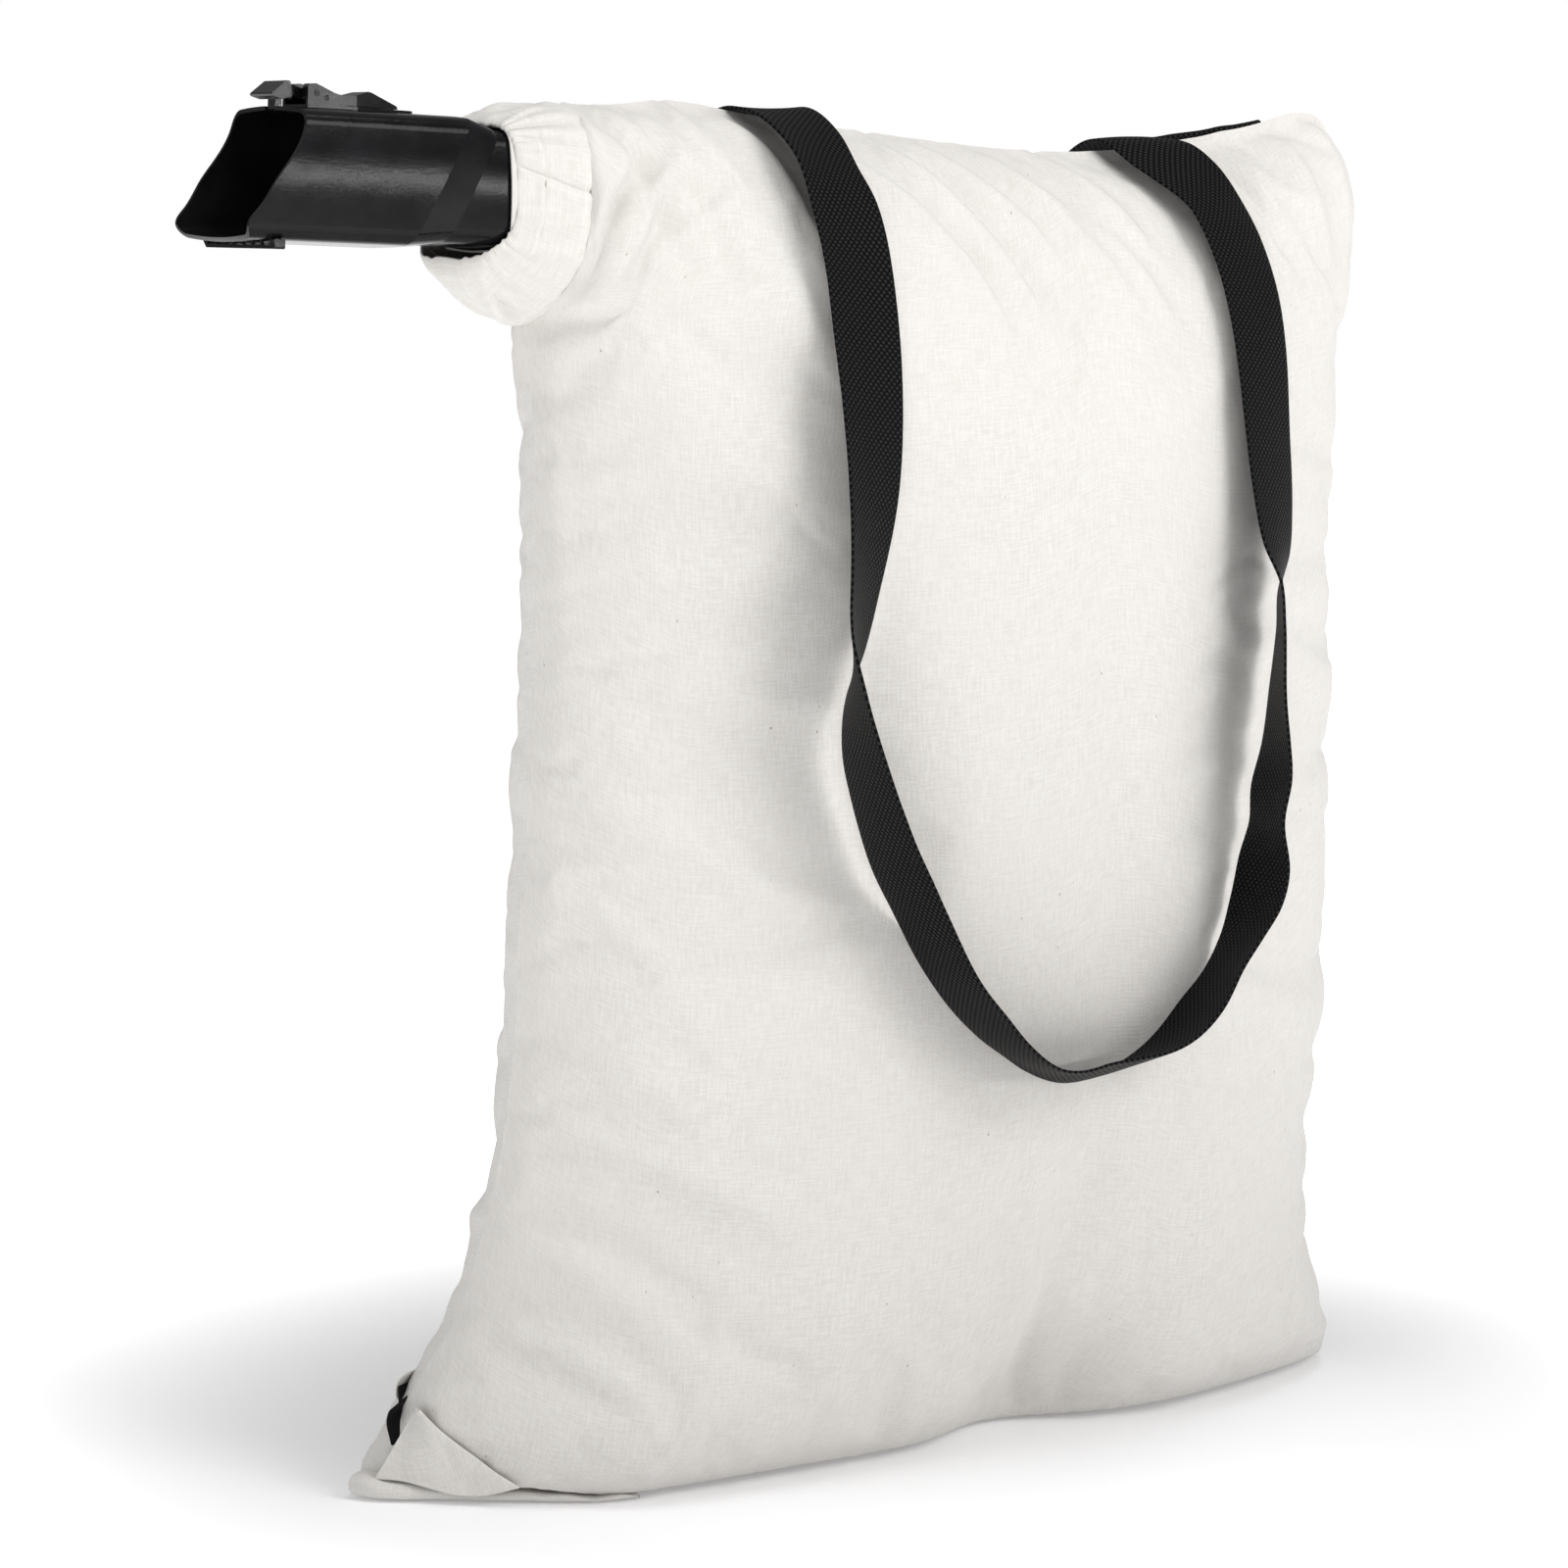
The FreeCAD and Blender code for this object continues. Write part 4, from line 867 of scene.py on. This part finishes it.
# %% Copies along a line
def copies(name, line, normal, pitch, size, shift=0.0, sink=0.0):
    """Small bars along a line. size is (along, across, high), and each bar's section is an octagon."""
    steps = np.concatenate([[0], np.cumsum(np.linalg.norm(np.diff(line, axis=0), axis=1))])
    at = np.arange(pitch * (0.5 + shift), steps[-1] - pitch * 0.4, pitch)
    place = np.stack([np.interp(at, steps, line[:, k]) for k in range(3)], -1)
    ahead = np.stack([np.interp(at + pitch * 0.1, steps, line[:, k]) for k in range(3)], -1) - place
    ahead /= np.linalg.norm(ahead, axis=1, keepdims=True) + 1e-12
    out = np.stack([np.interp(at, steps, normal[:, k]) for k in range(3)], -1)
    out /= np.linalg.norm(out, axis=1, keepdims=True)
    across = np.cross(out, ahead)
    ring = (np.arange(8) + 0.5) * math.pi / 4
    ends, scale = np.array([-0.5, -0.32, 0, 0.32, 0.5]), np.array([0.35, 0.85, 1.0, 0.85, 0.35])
    thick = scale[None, :, None, None]
    bar = (place[:, None, None] + ahead[:, None, None] * (ends * size[0])[None, :, None, None]
           + across[:, None, None] * (np.cos(ring)[None, None, :, None] * thick * size[1] / 2)
           + out[:, None, None] * (np.sin(ring)[None, None, :, None] * thick * size[2] / 2 - sink))
    one = grid_faces(5, 8, round_columns=True, flip=True)
    caps = np.array([[0, 1, 2, 3], [0, 3, 4, 7], [4, 5, 6, 7]])
    one = np.concatenate([one, caps, caps[:, ::-1] + 32])
    faces = (one[None] + 40 * np.arange(len(at))[:, None, None]).reshape(-1, 4)
    return make_mesh(name, bar, faces)


def thread_finish(name, colour):
    thread = Finish(name, Roughness=0.7, Specular_IOR_Level=0.3)
    twist = thread.noise(thread.place(), 900.0, 2.0)
    return thread.set(Base_Color=thread.mix(twist, tuple(c * 0.8 for c in colour) + (1,), colour + (1,)),
                      Normal=thread.bump(twist, 0.0001, 0.5))


COTTON = thread_finish("cotton_thread", (0.74, 0.70, 0.61))
BLACK_THREAD = thread_finish("black_thread", (0.02, 0.02, 0.022))


def stitch_row(name, line, normal, finish=COTTON, pitch=0.0034):
    row = copies(name, line, normal, pitch, (pitch * 0.78, 0.0006, 0.0005), sink=-0.0001)
    row.data.materials.append(finish)
    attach(row, "bag")
    return row


# %% Zip teeth and welts
zip_x = np.linspace(178, -321, 400)
zip_path = np.stack([zip_x, ZIP_LINE(zip_x), 0 * zip_x + ZIP_Z], -1) * MM
slope = np.gradient(ZIP_LINE(zip_x)) / np.gradient(zip_x)
zip_out = np.stack([-slope, 1 + 0 * slope, 0 * slope], -1)
zip_out /= np.linalg.norm(zip_out, axis=1, keepdims=True)
for name, sign, shift in (("upper", 1, 0.0), ("lower", -1, 0.5)):
    line = zip_path + zip_out * 0.0019 + np.array([0, 0, sign * 0.0013])
    teeth = copies("zip_teeth_" + name, line, zip_out, 0.0022, (0.0014, 0.0046, 0.0018), shift)
    teeth.data.materials.append(LACQUER)
    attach(teeth, "bag")
    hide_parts("zip_coil_" + name)
    across = np.array([6.2, 6.3, 6.9, 8.5, 11, 13.5, 15.5, 17.5, 20])
    raised = np.array([1.1, 1.7, 2.1, 2.3, 2.2, 1.9, 1.2, -0.2, -2.5])
    ripple = 0.25 * np.sin(np.linspace(0, 90, 400))[:, None] * np.ones(9)[None, :]
    welt = (zip_path[:, None] + zip_out[:, None] * ((raised + ripple) * MM)[..., None]
            + np.array([0, 0, sign * MM]) * across[None, :, None])
    strip = make_mesh("zip_welt_" + name, welt, grid_faces(400, 9, flip=sign > 0), cloth_lengths(welt))
    strip.data.materials.append(CANVAS)
    modifier(strip, "SOLIDIFY", thickness=0.0007, offset=-1.0)
    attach(strip, "bag")
    stitch_row("zip_stitches_" + name, welt[:, 3], zip_out)

# %% Stitches on cuff and strap
near = int(round(3.0 / (2 * math.pi) * CUFF_AROUND))
side_out = np.tile(np.array([[0.0, -1.0, 0.0]]), (CUFF_ALONG, 1))
stitch_row("cuff_joint_stitches", cuff[3:-4, near] + side_out[3:-4] * 0.0004, side_out[3:-4])
round_row = 13
hem_line = np.concatenate([cuff[round_row], cuff[round_row, :1]])
hem_out = np.concatenate([outward[0], outward[0, :1]])
stitch_row("cuff_hem_stitches", hem_line + hem_out * 0.0002, hem_out)


def strap_stitches(name, low, high, end):
    """A sewn box with a cross through it, on the webbing between two stations. end is a station near the
    strap's end, whose normal tells which face is outside."""
    outside = np.where(np.dot(strap_normal[end], [0, 1, 0.6]) > 0, 1.0, -1.0)
    corners = [(low, -0.4), (low, 0.4), (high, 0.4), (high, -0.4), (low, -0.4), (high, 0.4), (high, -0.4),
               (low, 0.4)]
    line, out = [], []
    for (r0, w0), (r1, w1) in zip(corners, corners[1:]):
        for f in np.linspace(0, 1, 12):
            station = int(round(r0 + (r1 - r0) * f))
            column = (w0 + (w1 - w0) * f + 0.5) * (STRAP_COLUMNS - 1)
            lower = int(column)
            part = column - lower
            spot = strap_points[station, lower] * (1 - part) + strap_points[station, lower + 1] * part
            face = strap_normal[station] * outside
            line.append(spot + face * 0.0009)
            out.append(face)
    return stitch_row(name, np.array(line), np.array(out), BLACK_THREAD)


strap_stitches("strap_stitches_left", 2, 14, 6)
strap_stitches("strap_stitches_right", STRAP_STATIONS - 15, STRAP_STATIONS - 3, -6)

# %% [markdown]
# ## Finishes for the CAD parts
# The tube, the latch and the zip's hard parts keep the shapes that CAD made. They only need their finishes.

# %% Hand out finishes
CAD_FINISHES = {"inlet_tube": TUBE, "latch_base": LATCH, "latch_lever": LATCH, "latch_claw": LATCH,
                "latch_pivot_pins": BLACK_STEEL, "latch_claw_pin": BLACK_STEEL, "latch_screws": BLACK_STEEL,
                "zip_tape_upper": TAPE, "zip_tape_lower": TAPE, "zip_end_stop": LACQUER,
                "zip_slider": LACQUER, "zip_pull": LACQUER, "cuff_elastic": ELASTIC}
for name, finish in CAD_FINISHES.items():
    node = nodes[name]
    node.data.materials.clear()
    node.data.materials.append(finish)

# %% [markdown]
# ## Studio
# A pale floor that runs to a pale background, a large key light near the camera, a fill from the left that
# keeps the bag's edge bright, a soft top light, and a narrow strip that draws the line along the tube's
# side.

# %% Floor, light and camera
FLOOR_REACH, FLOOR_DROP = 9, -0.0005
floor = make_mesh("floor", [(x, y, FLOOR_DROP) for y in (-FLOOR_REACH, FLOOR_REACH)
                            for x in (-FLOOR_REACH, FLOOR_REACH)], grid_faces(2, 2, flip=True))
# light that the floor gives off: little near the bag, which keeps its shadow, and much further out
NEAR_GLOW, FAR_GLOW = (0.14, 0.14, 0.142, 1), (0.95, 0.95, 0.955, 1)
paper = Finish("paper", Roughness=0.8)
away = paper.node("ShaderNodeVectorMath", {"operation": "LENGTH"}, {0: paper.place()}, output="Value")
glow = away.clamp(0.3, 0.85)
# painted shade: the floor's own colour is also a little darker near the bag and lighter further out
colour = paper.mix(glow, (0.90, 0.90, 0.91, 1), (0.93, 0.93, 0.94, 1))
own_light = paper.mix(glow, NEAR_GLOW, FAR_GLOW)
floor.data.materials.append(paper.set(Base_Color=colour, Emission_Color=own_light))
paper.shader.inputs["Emission Strength"].default_value = 1.0
floor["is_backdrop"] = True

world = bpy.data.worlds.new("studio")
world.use_nodes = True
sky = world.node_tree.nodes["Background"]
ray = world.node_tree.nodes.new("ShaderNodeLightPath")
level = world.node_tree.nodes.new("ShaderNodeMapRange")
level.inputs["To Min"].default_value, level.inputs["To Max"].default_value = 0.25, 1.0
world.node_tree.links.new(ray.outputs["Is Camera Ray"], level.inputs["Value"])
world.node_tree.links.new(level.outputs[0], sky.inputs["Strength"])
sky.inputs["Color"].default_value = (1, 1, 1, 1)
bpy.context.scene.world = world
bpy.context.scene.view_settings.view_transform = "Standard"


def softbox(name, place, aim, size, power):
    lamp = bpy.data.objects.new(name, bpy.data.lights.new(name, "AREA"))
    lamp.data.shape = "RECTANGLE"
    lamp.data.size, lamp.data.size_y = size
    lamp.data.energy = power
    lamp.location = place
    toward = np.array(aim) - np.array(place)
    lamp.rotation_euler = Vector(toward).to_track_quat("-Z", "Y").to_euler()
    bpy.context.scene.collection.objects.link(lamp)


softbox("key", (0.8, -2.4, 2.0), (0, 0, 0.45), (1.2, 1.2), 28)
softbox("strip", (1.3, -2.75, 0.75), (-0.35, 0, 0.73), (1.6, 0.035), 17)
softbox("fill", (-2.6, -0.6, 1.2), (-0.2, 0, 0.4), (1.6, 1.6), 16.5)
softbox("top", (-0.2, -0.5, 2.4), (0, 0, 0.5), (1.6, 1.2), 22)

AZIMUTH, PITCH, DISTANCE, CAMERA_HEIGHT = math.radians(35), math.radians(6.9), 2.9, 0.735
ahead = np.array([math.sin(AZIMUTH), math.cos(AZIMUTH), 0])
aside = np.array([math.cos(AZIMUTH), -math.sin(AZIMUTH), 0])
camera = bpy.data.objects.new("camera", bpy.data.cameras.new("camera"))
camera.location = -ahead * DISTANCE - aside * 0.075 + np.array([0, 0, CAMERA_HEIGHT])
camera.rotation_euler = (math.pi / 2 - PITCH, 0, -AZIMUTH)
camera.data.lens, camera.data.sensor_width = 114.75, 36
bpy.context.scene.collection.objects.link(camera)
bpy.context.scene.camera = camera

# %% Sizes, and the end
low, high = (list(corner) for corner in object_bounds())
print("visual box", low, high)
